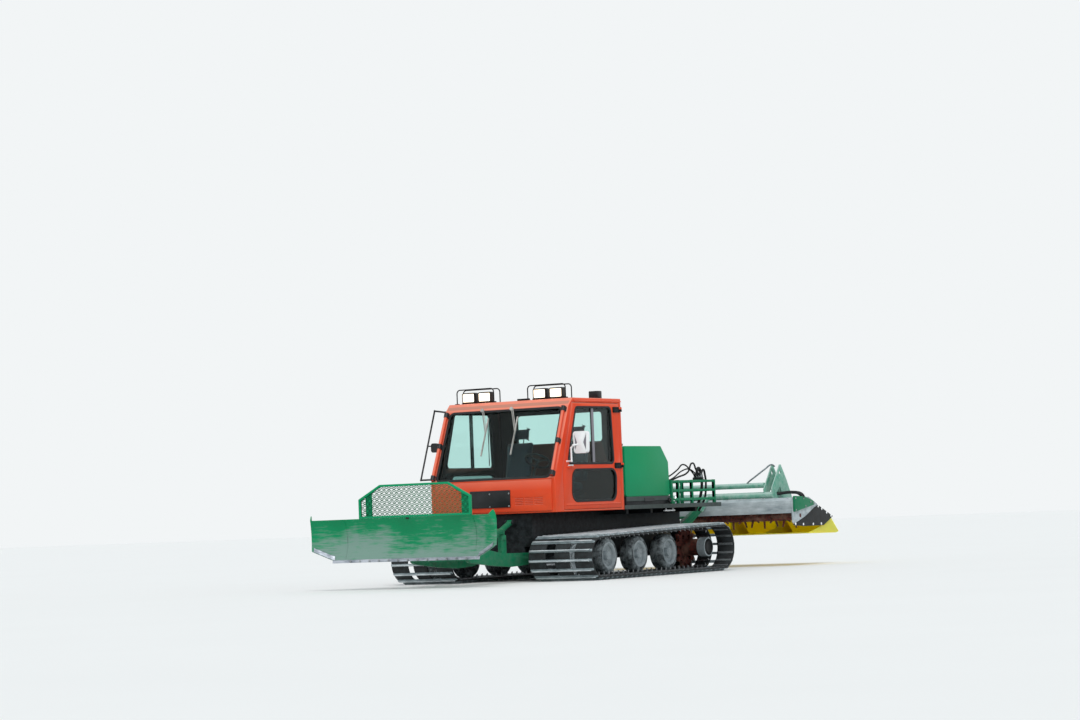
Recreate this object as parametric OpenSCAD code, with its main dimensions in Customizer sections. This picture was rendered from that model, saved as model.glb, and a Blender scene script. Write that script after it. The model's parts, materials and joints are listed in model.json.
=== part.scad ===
// Tracked snow groomer: cab forward, front blade on a push frame, raised rear tiller.
// Millimetres, +Z up, the machine faces -Y and its left side is +X.
// The origin is on the ground at the middle of the overall length and width.

/* [Cab] */
// Half of the cab's width over its side walls
cab_half_w = 994; // [900:1:1100]
// Height of the roof's top over the ground
roof_z = 2450; // [2300:1:2600]
// Height of the underside of the cab and of the deck
floor_z = 918; // [880:1:960]
// Thickness of the cab's walls, doors, floor and roof
wall = 40; // [30:1:50]
// Place of the cab's front face along the machine
nose_y = -2198; // [-2260:1:-2150]
// Place of the cab's rear wall along the machine
cab_rear_y = -388; // [-420:1:-360]
// Height of the windscreen's sill
sill_z = 1372; // [1340:1:1430]
// Place of the windscreen's top edge along the machine
screen_top_y = -1780; // [-1820:1:-1740]
// Height of the windscreen's top edge
screen_top_z = 2344; // [2300:1:2370]
// Place of the roof's front edge along the machine
roof_front_y = -1673; // [-1720:1:-1640]
// Thickness of the window glass
glass_t = 8; // [5:1:12]
// Clearance round each door and each window pane
door_gap = 6; // [4:0.5:8]
// Seat between a pane or fitting and what holds it
seat_gap = 0.3; // [0.2:0.05:0.5]

/* [Engine box and deck] */
// Inset of the engine box from the deck's sides
box_inset = 38; // [30:1:80]
// Place of the engine box's front wall
box_front_y = -266; // [-300:1:-240]
// Length of the engine box at its top
box_top_l = 1034; // [950:1:1100]
// Length of the engine box at its foot
box_foot_l = 1251; // [1200:1:1290]
// Height of the engine box's foot
box_z = 1094; // [1060:1:1120]
// Height of the engine box's top
box_top_z = 1798; // [1700:1:1840]
// Half of the deck's width
deck_half_w = 990; // [960:1:1010]
// Place of the deck's rear edge
deck_rear_y = 2437; // [2350:1:2480]
// Thickness of the deck plate
deck_t = 40; // [30:1:50]
// Height of the deck rail's top
rail_z = 1311; // [1250:1:1400]

/* [Hull] */
// Half of the hull's width between the tracks
hull_half_w = 560; // [520:1:580]
// Height of the hull's belly over the ground
belly_z = 250; // [230:1:300]
// Place of the hull's front face
hull_front_y = -2120; // [-2150:1:-2080]
// Place of the hull's rear face
hull_rear_y = 1950; // [1920:1:1980]

/* [Tracks] */
// Distance of a track's middle from the machine's middle
track_x = 1110; // [1100:1:1140]
// Width of a track over its cross bars
track_w = 980; // [940:1:1000]
// Radius of the road wheels' tyres
tyre_r = 250; // [240:1:256]
// Width of a tyre
tyre_w = 200; // [160:1:220]
// Radius at which the drive sprocket carries the belts
sprocket_r = 290; // [280:1:300]
// Thickness of the belts
belt_t = 20; // [14:1:24]
// Height of a cross bar over the belt
bar_h = 35; // [25:1:45]
// Width of a cross bar along the track
bar_w = 34; // [24:1:44]
// Number of cross bars on one track
bar_count = 66; // [50:1:72]
// Place of the first road wheel along the machine
wheel_y = -2070; // [-2090:1:-2050]
// Spacing of the road wheels and the sprocket along the machine
wheel_pitch = 838; // [800:1:850]

/* [Blade] */
// Half of the length of the blade's straight middle
blade_half_w = 1000; // [900:1:1100]
// Length of each blade wing
wing_l = 455; // [400:1:500]
// Forward bend of each wing
wing_angle = 28; // [20:1:35]
// Place of the blade's deepest line along the machine
blade_y = -4165; // [-4200:1:-4130]
// Height of the mouldboard's bottom edge
blade_z = 400; // [380:1:440]
// Height of the mouldboard's top edge
blade_top_z = 925; // [900:1:960]
// Radius of the mouldboard's hollow
blade_r = 440; // [400:1:500]
// Thickness of the mouldboard plate
blade_t = 12; // [8:1:16]
// Rise of a wing's bottom edge to its tip
wing_rise = 120; // [80:1:160]
// Height of the blade's mesh guard over the blade's top edge
guard_h = 430; // [380:1:460]
// Half of the mesh guard's width
guard_half_w = 868; // [800:1:900]
// Place of the mesh guard's middle to the left of the machine's middle
guard_x = 117; // [0:1:150]

/* [Push frame] */
// Distance of a push arm from the machine's middle
arm_x = 430; // [400:1:440]
// Place of the push frame's hinge along the machine
push_y = -1990; // [-2010:1:-1970]
// Height of the push frame's hinge
push_z = 330; // [320:1:345]
// Place of the blade's upright hinge pin along the machine
king_y = -3640; // [-3660:1:-3620]
// Radius of the hinge pins of the blade and the tiller
pin_r = 25; // [20:1:30]

/* [Tiller] */
// Half of the tiller's width
tiller_half_w = 1880; // [1800:1:2000]
// Place of the tiller hood's front face
tiller_y = 2955; // [2935:1:2980]
// Height of the tiller hood's top
tiller_top_z = 1003; // [980:1:1020]
// Radius of the tiller rotor over its teeth
rotor_r = 180; // [160:1:190]
// Place of the rotor's axis along the machine
rotor_y = 3200; // [3180:1:3220]
// Height of the rotor's axis
rotor_z = 735; // [730:1:750]
// Number of rows of teeth along the rotor
tooth_rows = 22; // [16:1:26]
// Place of the finisher's rear tip
finisher_tip_y = 4500; // [4450:1:4520]
// Distance of a tiller tower from the machine's middle
tower_x = 1400; // [1350:1:1450]

/* [Hidden] */
$fn = 48;
eps = 0.5;
pin_gap = 0.06;
run_gap = 6;

// Extrudes a side outline, given as (y, z), across the machine from x0 to x1.
module side_plate(x0, x1) {
  translate([x0, 0, 0]) rotate([90, 0, 90]) linear_extrude(x1 - x0) children();
}

// Extrudes a front outline, given as (x, z), along the machine from y0 to y1.
module front_plate(y0, y1) {
  translate([0, y1, 0]) rotate([90, 0, 0]) linear_extrude(y1 - y0) children();
}

// A round bar across the machine.
module bar_x(x0, x1, y, z, r) {
  translate([x0, y, z]) rotate([0, 90, 0]) cylinder(r = r, h = x1 - x0);
}

// A block given by its lowest and highest corner.
module block(a, b) {
  translate(a) cube(b - a);
}

// A round bar between two points.
module rod(a, b, r) {
  d = b - a;
  l = norm(d);
  translate(a) rotate([0, acos(d[2] / l), atan2(d[1], d[0])]) cylinder(r = r, h = l);
}

// Both sides of a piece that is drawn on the left.
module both_sides() {
  children();
  mirror([1, 0, 0]) children();
}

// The outline p, anticlockwise, moved inwards by w.
function edge_in(p, i, w) =
  let (a = p[i], b = p[(i + 1) % len(p)], d = (b - a) / norm(b - a), n = [-d[1], d[0]])
  [n, n * a + w];
function cross_point(e, f) =
  let (det = e[0][0] * f[0][1] - e[0][1] * f[0][0])
  [(e[1] * f[0][1] - f[1] * e[0][1]) / det, (f[1] * e[0][0] - e[1] * f[0][0]) / det];
function inset(p, w) =
  [for (i = [0:len(p) - 1]) cross_point(edge_in(p, (i + len(p) - 1) % len(p), w), edge_in(p, i, w))];

// The outline p, anticlockwise, with each corner rounded to radius r in n steps.
function rounded(p, r, n = 5) = [
  for (i = [0:len(p) - 1])
    let (a = p[(i + len(p) - 1) % len(p)], b = p[i], c = p[(i + 1) % len(p)],
         u = (a - b) / norm(a - b), v = (c - b) / norm(c - b),
         half = acos(u * v) / 2, m = (u + v) / norm(u + v), o = b + m * r / sin(half),
         s = b + u * r / tan(half) - o, e = b + v * r / tan(half) - o,
         turn = acos(s * e / (norm(s) * norm(e))))
      for (k = [0:n])
        let (t = turn * k / n) o + [s[0] * cos(t) - s[1] * sin(t), s[0] * sin(t) + s[1] * cos(t)]
];

// The cab

screen_rake = atan2(screen_top_y - nose_y, screen_top_z - sill_z);
screen_l = norm([screen_top_y - nose_y, screen_top_z - sill_z]);
cab_outline = [
  [nose_y, floor_z], [cab_rear_y, floor_z], [cab_rear_y, roof_z], [roof_front_y, roof_z],
  [screen_top_y, screen_top_z], [nose_y, sill_z]
];
pillar_w = 70;
screen_half_w = cab_half_w - pillar_w - 20;
screen_margin = 26;
nose_half_w = cab_half_w - 58;

door_front_y = -1985;
door_kink_z = 1450;
door_top_y = -1690;
door_rear_y = cab_rear_y - 60;
door_top_z = roof_z - 62;
door_z = floor_z + 22;
door_hole = [
  [door_front_y, door_z], [door_rear_y, door_z], [door_rear_y, door_top_z],
  [door_top_y, door_top_z], [door_front_y, door_kink_z]
];
door_outline = inset(door_hole, door_gap);
upper_window = [[-1853, 1565], [-636, 1565], [-679, 2325], [-1596, 2318]];
lower_window = [[-1767, 1058], [-610, 1062], [-577, 1479], [-1736, 1473]];
window_r = 60;
lower_window_r = 120;

// Sets its children on the windscreen: x across, y up the slope, z outwards.
module on_screen() {
  translate([0, nose_y, sill_z]) rotate([90 - screen_rake, 0, 0]) children();
}

module screen_shape(shrink) {
  polygon(rounded([
    [-screen_half_w + shrink, screen_margin + shrink], [screen_half_w - shrink, screen_margin + shrink],
    [screen_half_w - 12 - shrink, screen_l - 30 - shrink], [-screen_half_w + 12 + shrink, screen_l - 30 - shrink]
  ], window_r - shrink));
}

rear_window = [[-700, 1870], [700, 1870], [700, 2300], [-700, 2300]];

module cab_shell() {
  color("orangered") difference() {
    side_plate(-cab_half_w, cab_half_w) polygon(cab_outline);
    side_plate(-cab_half_w + wall, cab_half_w - wall) polygon(inset(cab_outline, wall));
    both_sides() side_plate(cab_half_w - wall - 1, cab_half_w + 1) polygon(door_hole);
    front_plate(nose_y - 1, nose_y + wall + 1)
      polygon([[-nose_half_w, nose_z0], [nose_half_w, nose_z0], [nose_half_w, nose_z1], [-nose_half_w, nose_z1]]);
    on_screen() translate([0, 0, -wall - 20]) linear_extrude(wall + 40) screen_shape(0);
    front_plate(cab_rear_y - wall - 1, cab_rear_y + 1) polygon(rounded(rear_window, window_r));
  }
}

nose_z0 = floor_z + 24;
nose_z1 = sill_z - 14;
louvre_x = 360;
louvre_w = 132;
louvre_pitch = 152;
louvre_z = 1030;

// The sheet panel under the windscreen, with three stacks of pressed louvre slots.
module nose_panel() {
  crease_z = 1181;
  step = 16;
  w = nose_half_w - seat_gap;
  color("orangered") difference() {
    side_plate(-w, w) polygon([
      [nose_y - step, nose_z0 + seat_gap], [nose_y + wall, nose_z0 + seat_gap], [nose_y + wall, nose_z1 - seat_gap],
      [nose_y, nose_z1 - seat_gap], [nose_y - step, crease_z]
    ]);
    for (column = [0:2], row = [0:4])
      block([louvre_x + column * louvre_pitch, nose_y - step - 1, louvre_z + row * 22],
            [louvre_x + column * louvre_pitch + louvre_w, nose_y - step + 10, louvre_z + row * 22 + 8]);
  }
}

grille_x0 = -352;
grille_x1 = 292;

// The black cover plate on the nose.
module nose_grille() {
  color("black") difference() {
    block([grille_x0, nose_y - 30, 1005], [grille_x1, nose_y - 16, 1237]);
    block([grille_x0 - 1, nose_y - 31, 1205], [grille_x1 + 1, nose_y - 24, 1240]);
  }
}

// The windscreen and the rear pane, each seated in its frame.
module cab_glass() {
  color("paleturquoise", 0.5) {
    on_screen() translate([0, 0, -wall / 2 - glass_t / 2]) linear_extrude(glass_t) screen_shape(seat_gap);
    front_plate(cab_rear_y - wall / 2 - glass_t / 2, cab_rear_y - wall / 2 + glass_t / 2)
      polygon(rounded(inset(rear_window, seat_gap), window_r));
  }
}

inner_x = cab_half_w - wall;
inner_floor = floor_z + wall;

// The instrument shelf under the windscreen with the steering column and its levers.
module dashboard() {
  shelf_y = nose_y + wall + seat_gap;
  color("dimgray") {
    difference() {
      side_plate(-inner_x + 60, inner_x - 60) polygon([
        [shelf_y, inner_floor], [shelf_y + 230, inner_floor], [shelf_y + 300, 1250],
        [shelf_y + 260, 1400], [shelf_y + 60, 1368], [shelf_y, 1330]
      ]);
      block([120, shelf_y + 120, inner_floor - 1], [780, shelf_y + 400, 1230]);
      block([-780, shelf_y + 120, inner_floor - 1], [-120, shelf_y + 400, 1230]);
    }
    rod([450, shelf_y + 236, 1340], [450, shelf_y + 420, 1620], 18);
    translate([450, shelf_y + 420, 1620]) rotate([-33, 0, 0]) {
      rotate_extrude() translate([170, 0]) circle(r = 14, $fn = 16);
      translate([0, 0, -16]) cylinder(r = 36, h = 28);
      for (a = [0, 120, 240]) rotate([0, 0, a]) translate([20, -12, -8]) cube([150, 24, 14]);
    }
  }
}

// One seat: base, cushion and back.
module seat(x) {
  base_y = -1080;
  translate([x, base_y, inner_floor]) {
    block([-170, -170, 0], [170, 190, 240]);
    side_plate(-240, 240) polygon(rounded([[-250, 240], [240, 240], [240, 350], [-250, 370]], 40));
    side_plate(-230, 230) polygon(rounded([[190, 300], [300, 300], [410, 960], [320, 980]], 35));
    side_plate(-130, 130) polygon(rounded([[335, 985], [415, 965], [440, 1140], [370, 1150]], 28));
    block([-60, 340, 900], [60, 390, 1040]);
  }
}

module seats() {
  color("dimgray") {
    seat(450);
    seat(-450);
  }
}

// One door with its two windows cut, its handle and its hinge straps.
module door() {
  difference() {
    side_plate(cab_half_w - wall, cab_half_w) polygon(door_outline);
    side_plate(cab_half_w - wall - 1, cab_half_w + 1) polygon(rounded(upper_window, window_r));
    side_plate(cab_half_w - wall - 1, cab_half_w + 1) polygon(rounded(lower_window, lower_window_r, 8));
  }
  block([cab_half_w - eps, -1880, 1500], [cab_half_w + 26, -1720, 1524]);
  for (z = hinge_zs) difference() {
    union() {
      block([cab_half_w - eps, hinge_y - 160, z + knuckle_h + 3], [cab_half_w + 12, hinge_y, z + 2 * knuckle_h]);
      block([cab_half_w + 6, hinge_y - 40, z + knuckle_h + 3], [hinge_x, hinge_y, z + 2 * knuckle_h]);
      translate([hinge_x, hinge_y, z + knuckle_h + 3]) cylinder(r = knuckle_r, h = knuckle_h - 3);
    }
    translate([hinge_x, hinge_y, z]) cylinder(r = hinge_pin_r + pin_gap, h = 2 * knuckle_h + 1);
    block([cab_half_w - wall, door_rear_y - door_gap, z], [cab_half_w, hinge_y + 30, z + 2 * knuckle_h + 1]);
  }
}

module door_glass() {
  x0 = cab_half_w - wall / 2 - glass_t / 2;
  side_plate(x0, x0 + glass_t) polygon(rounded(inset(upper_window, seat_gap), window_r));
  side_plate(x0, x0 + glass_t) polygon(rounded(inset(lower_window, seat_gap), lower_window_r, 8));
}

module door_left() { color("orangered") door(); }
module door_right() { color("orangered") mirror([1, 0, 0]) door(); }
module door_glass_left() { color("paleturquoise", 0.5) door_glass(); }
module door_glass_right() { color("paleturquoise", 0.5) mirror([1, 0, 0]) door_glass(); }

hinge_y = cab_rear_y - 40;
hinge_x = cab_half_w + 22;
hinge_zs = [1500, 2268];
hinge_pin_r = 8;
knuckle_r = 14;
knuckle_h = 31;

// The fixed halves of the door hinges on the rear door posts, each with its pin.
module door_hinges() {
  color("black") both_sides() for (z = hinge_zs) {
    translate([hinge_x, hinge_y, z]) cylinder(r = knuckle_r, h = knuckle_h);
    translate([hinge_x, hinge_y, z]) cylinder(r = hinge_pin_r, h = 2 * knuckle_h + 4);
    block([cab_half_w, hinge_y - 10, z], [hinge_x - 4, cab_rear_y - 2, z + knuckle_h]);
  }
}

// The roof

lamp_x = 575;
lamp_y = -1560;
lamp_gap = 130;
lamp_half_w = 106;
lamp_h = 154;

// Two square work lamps a side on a low foot rail.
module roof_lamps() {
  color("white") both_sides() {
    block([lamp_x - 270, lamp_y - 25, roof_z], [lamp_x + 270, lamp_y + 25, roof_z + 22]);
    for (x = [lamp_x - lamp_gap, lamp_x + lamp_gap])
      front_plate(lamp_y - 60, lamp_y + 30)
        polygon(rounded([
          [x - lamp_half_w, roof_z + 10], [x + lamp_half_w, roof_z + 10],
          [x + lamp_half_w, roof_z + lamp_h], [x - lamp_half_w, roof_z + lamp_h]
        ], 22));
  }
}

guard_tube_r = 8;

// A hoop of round tube: two legs and a top bar with bent corners.
module hoop(half_w, h, bend) {
  for (s = [-1, 1]) {
    translate([s * half_w, 0, 0]) cylinder(r = guard_tube_r, h = h - bend);
    translate([s * (half_w - bend), 0, h - bend]) rotate([90, s > 0 ? 0 : -90, 0])
      rotate_extrude(angle = 90) translate([bend, 0]) circle(r = guard_tube_r, $fn = 16);
  }
  rod([-half_w + bend, 0, h], [half_w - bend, 0, h], guard_tube_r);
}

// Twin hoops round each pair of lamps.
module lamp_guards() {
  color("black") both_sides() for (y = [lamp_y - 90, lamp_y + 70])
    translate([lamp_x, y, roof_z]) hoop(300, 196, 50);
}

module roof_box() {
  color("black") block([675, -712, roof_z], [825, -597, roof_z + 116]);
}

// Two wipers hung from the top of the windscreen.
module wipers() {
  color("dimgray") on_screen() for (x = [-372, 102]) {
    translate([x, screen_l - 12, 0]) cylinder(r = 26, h = 30);
    rod([x, screen_l - 12, 22], [x + 120, screen_l - 350, 20], 7);
    rod([x + 26, screen_l - 20, 22], [x + 140, screen_l - 350, 20], 5);
    block([x + 112, screen_l - 690, 2], [x + 128, screen_l - 130, 20]);
  }
}

mirror_r = 12;
mirror_arm_r = 9;
elbow_r = 15;

// A mirror stay: round tube from point to point with a ball at each bend.
module stay(points) {
  for (i = [0:len(points) - 2]) rod(points[i], points[i + 1], mirror_r);
  for (i = [1:len(points) - 2]) translate(points[i]) sphere(r = elbow_r);
}

// The left mirror on its bent arm, which stands on the door.
module mirror_left() {
  color("white") {
    translate([cab_half_w, 0, 0]) {
      stay([
        [seat_gap, -1885, 1590], [78, -1885, 1590], [78, -1885, 1765], [111, -1885, 1800], [196, -1842, 1815]
      ]);
      front_plate(-1850, -1790) polygon(rounded([[106, 1690], [306, 1690], [318, 1985], [94, 1985]], 40));
    }
  }
}

// The right mirror, a small round-cornered one, inside its long bow along the pillar.
module mirror_right() {
  color("black") translate([-cab_half_w, 0, 0]) {
    stay([
      [-seat_gap, -1735, 2350], [-24, -1735, 2350], [-206, -1735, 2378], [-201, -2140, 1424],
      [-seat_gap, -2140, 1424]
    ]);
    rod([-203, -1942, 1890], [-90, -1942, 1886], mirror_arm_r);
    front_plate(-1965, -1920) polygon(rounded([[-136, 1798], [-34, 1798], [-34, 1926], [-136, 1926]], 34));
  }
}

tube_r = 24;

// A stand-off grab tube along each windscreen pillar.
module pillar_tubes() {
  x = cab_half_w - 38;
  color("orangered") both_sides() on_screen() {
    rod([x, 30, 34], [x - 14, screen_l - 20, 34], tube_r);
    for (s = [60, screen_l / 2, screen_l - 60])
      block([x - 30, s - 14, 0], [x + 12, s + 14, 30]);
  }
}

// The engine box and the deck

box_outline = [
  [box_front_y, box_z], [box_front_y + box_foot_l, box_z], [box_front_y + box_foot_l - 18, box_top_z - 225],
  [box_front_y + box_top_l, box_top_z], [box_front_y, box_top_z]
];
box_wall = 30;
box_half_w = deck_half_w - box_inset;

// The green cover behind the cab, open below over the engine.
module engine_box() {
  color("seagreen") difference() {
    side_plate(-box_half_w, box_half_w) polygon(rounded(box_outline, 40));
    side_plate(-box_half_w + box_wall, box_half_w - box_wall) polygon([
      [box_front_y + box_wall, box_z - 1], [box_front_y + box_foot_l - box_wall - 6, box_z - 1],
      [box_front_y + box_foot_l - 18 - box_wall, box_top_z - 235],
      [box_front_y + box_top_l - 14, box_top_z - box_wall], [box_front_y + box_wall, box_top_z - box_wall]
    ]);
  }
}

module engine_block() {
  color("gray") block([-300, box_front_y + 160, floor_z + deck_t], [300, box_front_y + 1040, box_top_z - 220]);
}

deck_front_y = cab_rear_y + 12;

// The deck plate with the sill frame that carries the engine box.
module deck() {
  color("black") {
    block([-deck_half_w, deck_front_y, floor_z], [deck_half_w, deck_rear_y, floor_z + deck_t]);
    difference() {
      block([-box_half_w, box_front_y, floor_z + deck_t - eps], [box_half_w, box_front_y + box_foot_l, box_z]);
      block([-box_half_w + 60, box_front_y + 60, floor_z + deck_t - 1],
            [box_half_w - 60, box_front_y + box_foot_l - 60, box_z + 1]);
    }
    both_sides() for (y = [-220, 460, 1105, 1760])
      block([hull_half_w, y, floor_z - 60], [deck_half_w - 70, y + 60, floor_z + eps]);
  }
}

rail_x = deck_half_w - box_inset;
rail_r = 18;
rail_y0 = box_front_y + box_foot_l + 40;
rail_y1 = deck_rear_y - 140;

// Green tube rails on both sides and across the rear of the deck.
module deck_rails() {
  base = floor_z + deck_t;
  color("seagreen") {
    both_sides() {
      for (y = [rail_y0, rail_y0 + 190, rail_y0 + 600, rail_y1])
        translate([rail_x - 20, y - 20, base]) cube([40, 40, rail_z - base]);
      for (z = [base + 60, base + 185, rail_z - 36])
        block([rail_x - 16, rail_y0, z], [rail_x + 16, rail_y1, z + 34]);
    }
    for (z = [base + 185, rail_z - 36])
      block([-rail_x, rail_y1 - 16, z], [rail_x, rail_y1 + 16, z + 34]);
    for (x = [-420, 420]) block([x - 20, rail_y1 - 20, base], [x + 20, rail_y1 + 20, rail_z - 36]);
  }
}

// A hose bent in a half circle over the deck.
module hose_arc(p, turn, r, hose_r) {
  translate(p) rotate([90, 0, turn]) rotate_extrude(angle = 180) translate([r, 0]) circle(r = hose_r, $fn = 16);
}

// The valve block behind the engine box with its hose loops.
module deck_hydraulics() {
  base = floor_z + deck_t;
  color("dimgray") {
    block([180, 1130, base], [620, 1480, 1230]);
    block([230, 1170, 1230 - eps], [570, 1440, 1330]);
    hose_arc([400, 1230, 1329], 70, 110, 13);
    hose_arc([420, 1330, 1329], 100, 80, 16);
    hose_arc([350, 1395, 1329], 20, 90, 12);
  }
}

// The hull

ear_w = 26;

// Two ears with their hinge pin of radius pin at (y, z), joined to what lies at back.
module ear_pair(x, gap, y, z, r, back, pin) {
  for (s = [-1, 1]) {
    x0 = x + s * (gap + ear_w) / 2 - ear_w / 2;
    bar_x(x0, x0 + ear_w, y, z, r);
    block([x0, min(y, back), z - r], [x0 + ear_w, max(y, back), z + r]);
  }
  bar_x(x - gap / 2 - ear_w, x + gap / 2 + ear_w, y, z, pin);
}

// Two plates at p, as (y, z), on a tube at base, round an eye of width w, each with its end of the pin.
module clevis(x, p, base, r, w) {
  d = p - base;
  for (s = [-1, 1]) {
    x0 = x + s * (w / 2 + plate_gap + 8) - 8;
    side_plate(x0, x0 + 16) {
      translate(p) circle(r = r);
      translate(base) rotate(atan2(d[1], d[0])) translate([0, 4 - r]) square([norm(d), 2 * r - 8]);
    }
    bar_x(x0 + 8 - 8 * (1 - s), x0 + 8 + 8 * (1 + s), p[0], p[1], eye_r);
  }
}

rod_r = 18;
barrel_r = 38;
rod_eye_w = 40;
plate_gap = 2;
barrel_eye_w = 70;
barrel_gap = 2 * barrel_r + 8;
eye_r = 18;
lift_x = 250;
lift_top = [hull_front_y - 60, 800];
tow_y = hull_front_y - 50;
tow_z = 685;
tow_t = 30;
tow_hole_r = 16;
rear_y = hull_rear_y + 70;
rear_z = 560;
rear_arm_x = 420;
rear_cyl_x = 250;
rear_cyl_top = [hull_rear_y + 60, 800];
hull_outline = [
  [hull_front_y + 190, belly_z], [hull_rear_y - 100, belly_z], [hull_rear_y, 400], [hull_rear_y, floor_z],
  [hull_front_y, floor_z], [hull_front_y, 620]
];

// The towing eye: a level plate on the hull's front with a hole for a shackle.
module tow_eye() {
  difference() {
    union() {
      translate([0, tow_y, tow_z]) cylinder(r = 45, h = tow_t);
      block([-45, tow_y, tow_z], [45, hull_front_y + eps, tow_z + tow_t]);
    }
    translate([0, tow_y, tow_z - 1]) cylinder(r = tow_hole_r, h = tow_t + 2);
  }
}

// The black tub between the tracks with the hinge ears of the blade and the tiller.
module hull() {
  color("black") {
    difference() {
      side_plate(-hull_half_w, hull_half_w) polygon(hull_outline);
      both_sides() block([arm_x - 60, push_y - 400, push_z - 200], [arm_x + 60, push_y + 80, push_z + 140]);
    }
    both_sides() {
      ear_pair(arm_x, 72, push_y, push_z, 55, push_y + 110, pin_r);
      ear_pair(lift_x, barrel_gap, lift_top[0], lift_top[1], 42, hull_front_y + eps, eye_r);
      ear_pair(rear_arm_x, 72, rear_y, rear_z, 55, hull_rear_y - eps, pin_r);
      ear_pair(rear_cyl_x, barrel_gap, rear_cyl_top[0], rear_cyl_top[1], 42, hull_rear_y - eps, eye_r);
    }
    tow_eye();
  }
}

// The tracks

front_r = tyre_r + belt_t + seat_gap;
rear_r = sprocket_r + belt_t;
front_z = front_r + bar_h;
sprocket_z = rear_r + bar_h;
sprocket_y = wheel_y + (3 + 1) * wheel_pitch + 58;
run_l = sprocket_y - wheel_y;
// Slope of the top run, which rises from the smaller front wheel to the sprocket.
axle_dist = norm([run_l, sprocket_z - front_z]);
line_tilt = atan2(sprocket_z - front_z, run_l);
wrap_tilt = asin((rear_r - front_r) / axle_dist);
top_tilt = line_tilt + wrap_tilt;
straight_l = axle_dist * cos(wrap_tilt);
front_arc = 180 - top_tilt;
rear_arc = 180 + top_tilt;
loop_l = 2 * straight_l + (front_arc * front_r + rear_arc * rear_r) * PI / 180;

// Where a bar sits after a distance s along the loop: [y, z, angle of its outward side].
function track_place(s) =
  s < straight_l ? [wheel_y + s, bar_h, -90]
  : s < straight_l + rear_arc * rear_r * PI / 180
    ? let (a = -90 + (s - straight_l) * 180 / (PI * rear_r))
      [sprocket_y + rear_r * cos(a), sprocket_z + rear_r * sin(a), a]
  : s < 2 * straight_l + rear_arc * rear_r * PI / 180
    ? let (d = s - straight_l - rear_arc * rear_r * PI / 180, a = 90 + top_tilt)
      [sprocket_y + rear_r * cos(a) - d * cos(top_tilt), sprocket_z + rear_r * sin(a) - d * sin(top_tilt), a]
  : let (a = 90 + top_tilt + (s - 2 * straight_l - rear_arc * rear_r * PI / 180) * 180 / (PI * front_r))
      [wheel_y + front_r * cos(a), front_z + front_r * sin(a), a];

arc_steps = 9;

// An arc round (y, z) from angle a0, as chords that touch the circle of radius r from outside.
function arc_chords(y, z, r, a0, arc) =
  let (step = arc / arc_steps, far = r / cos(step / 2))
  [for (i = [0:arc_steps - 1]) let (a = a0 + (i + 0.5) * step) [y + far * cos(a), z + far * sin(a)]];

// The loop that lies d inside the belt's outer face, as a closed outline.
function track_loop(d) = concat(
  arc_chords(sprocket_y, sprocket_z, rear_r - d, -90, rear_arc),
  arc_chords(wheel_y, front_z, front_r - d, 90 + top_tilt, front_arc)
);

// Belts of one track: [distance of the inner edge from the track's inner side, width].
belts = [[0, 260], [400, 220], [710, 270]];

// One track: three belts and the cross bars that join them.
module track() {
  x0 = track_x - track_w / 2;
  for (b = belts) side_plate(x0 + b[0], x0 + b[0] + b[1]) difference() {
    polygon(track_loop(0));
    polygon(track_loop(belt_t));
  }
  for (i = [0:bar_count - 1]) {
    p = track_place(loop_l * i / bar_count);
    translate([x0 + 3, p[0], p[1]]) rotate([p[2], 0, 0]) translate([0, -4, -bar_w / 2])
      cube([track_w - 6, bar_h + 4, bar_w]);
  }
}

module track_left() { color("dimgray") track(); }
module track_right() { color("dimgray") mirror([1, 0, 0]) track(); }

wheel_ys = [for (i = [0:3]) wheel_y + i * wheel_pitch];
rim_r = 150;

// Section of a tyre, from its axis outwards: radius against place across the tread.
module tyre_section() {
  h = tyre_w / 2;
  polygon([
    [rim_r, -h + 40], [rim_r + 8, -h + 14], [rim_r + 50, -h], [tyre_r - 26, -h + 8], [tyre_r - 5, -h + 32],
    [tyre_r, -h + 66], [tyre_r, h - 66], [tyre_r - 5, h - 32], [tyre_r - 26, h - 8], [rim_r + 50, h],
    [rim_r + 8, h - 14], [rim_r, h - 40]
  ]);
}

module tyres() {
  for (y = wheel_ys) translate([track_x, y, front_z]) rotate([0, 90, 0]) rotate_extrude($fn = 32) tyre_section();
}

module tyres_left() { color("dimgray") tyres(); }
module tyres_right() { color("dimgray") mirror([1, 0, 0]) tyres(); }

axle_r = 32;

// Pressed steel rims with a dished disc, five hand holes and a hub.
module rims() {
  for (y = wheel_ys) translate([track_x, y, front_z]) rotate([0, 90, 0]) {
    rotate_extrude($fn = 32) polygon([
      [axle_r + 2, 4], [rim_r - 24, 34], [rim_r - 12, 34], [rim_r - 12, -60], [rim_r - seat_gap, -60],
      [rim_r - seat_gap, 60], [rim_r - 22, 60], [rim_r - 30, 48], [axle_r + 26, 30], [axle_r + 24, 96],
      [axle_r + 2, 96]
    ]);
    translate([0, 0, 84]) cylinder(r = axle_r + 4, h = 16);
  }
}

module wheel_rims_left() { color("silver") rims(); }
module wheel_rims_right() { color("silver") mirror([1, 0, 0]) rims(); }

sprocket_x = 965;
sprocket_w = 44;
sprocket_teeth = 14;
tooth_foot_r = sprocket_r - 60;
tooth_tip_r = rear_r - 8;
sprocket_outline = [
  for (i = [0:sprocket_teeth - 1], corner = [[tooth_foot_r, -9], [tooth_tip_r, -3], [tooth_tip_r, 3], [tooth_foot_r, 9]])
    let (a = i * 360 / sprocket_teeth + corner[1]) corner[0] * [cos(a), sin(a)]
];

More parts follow.
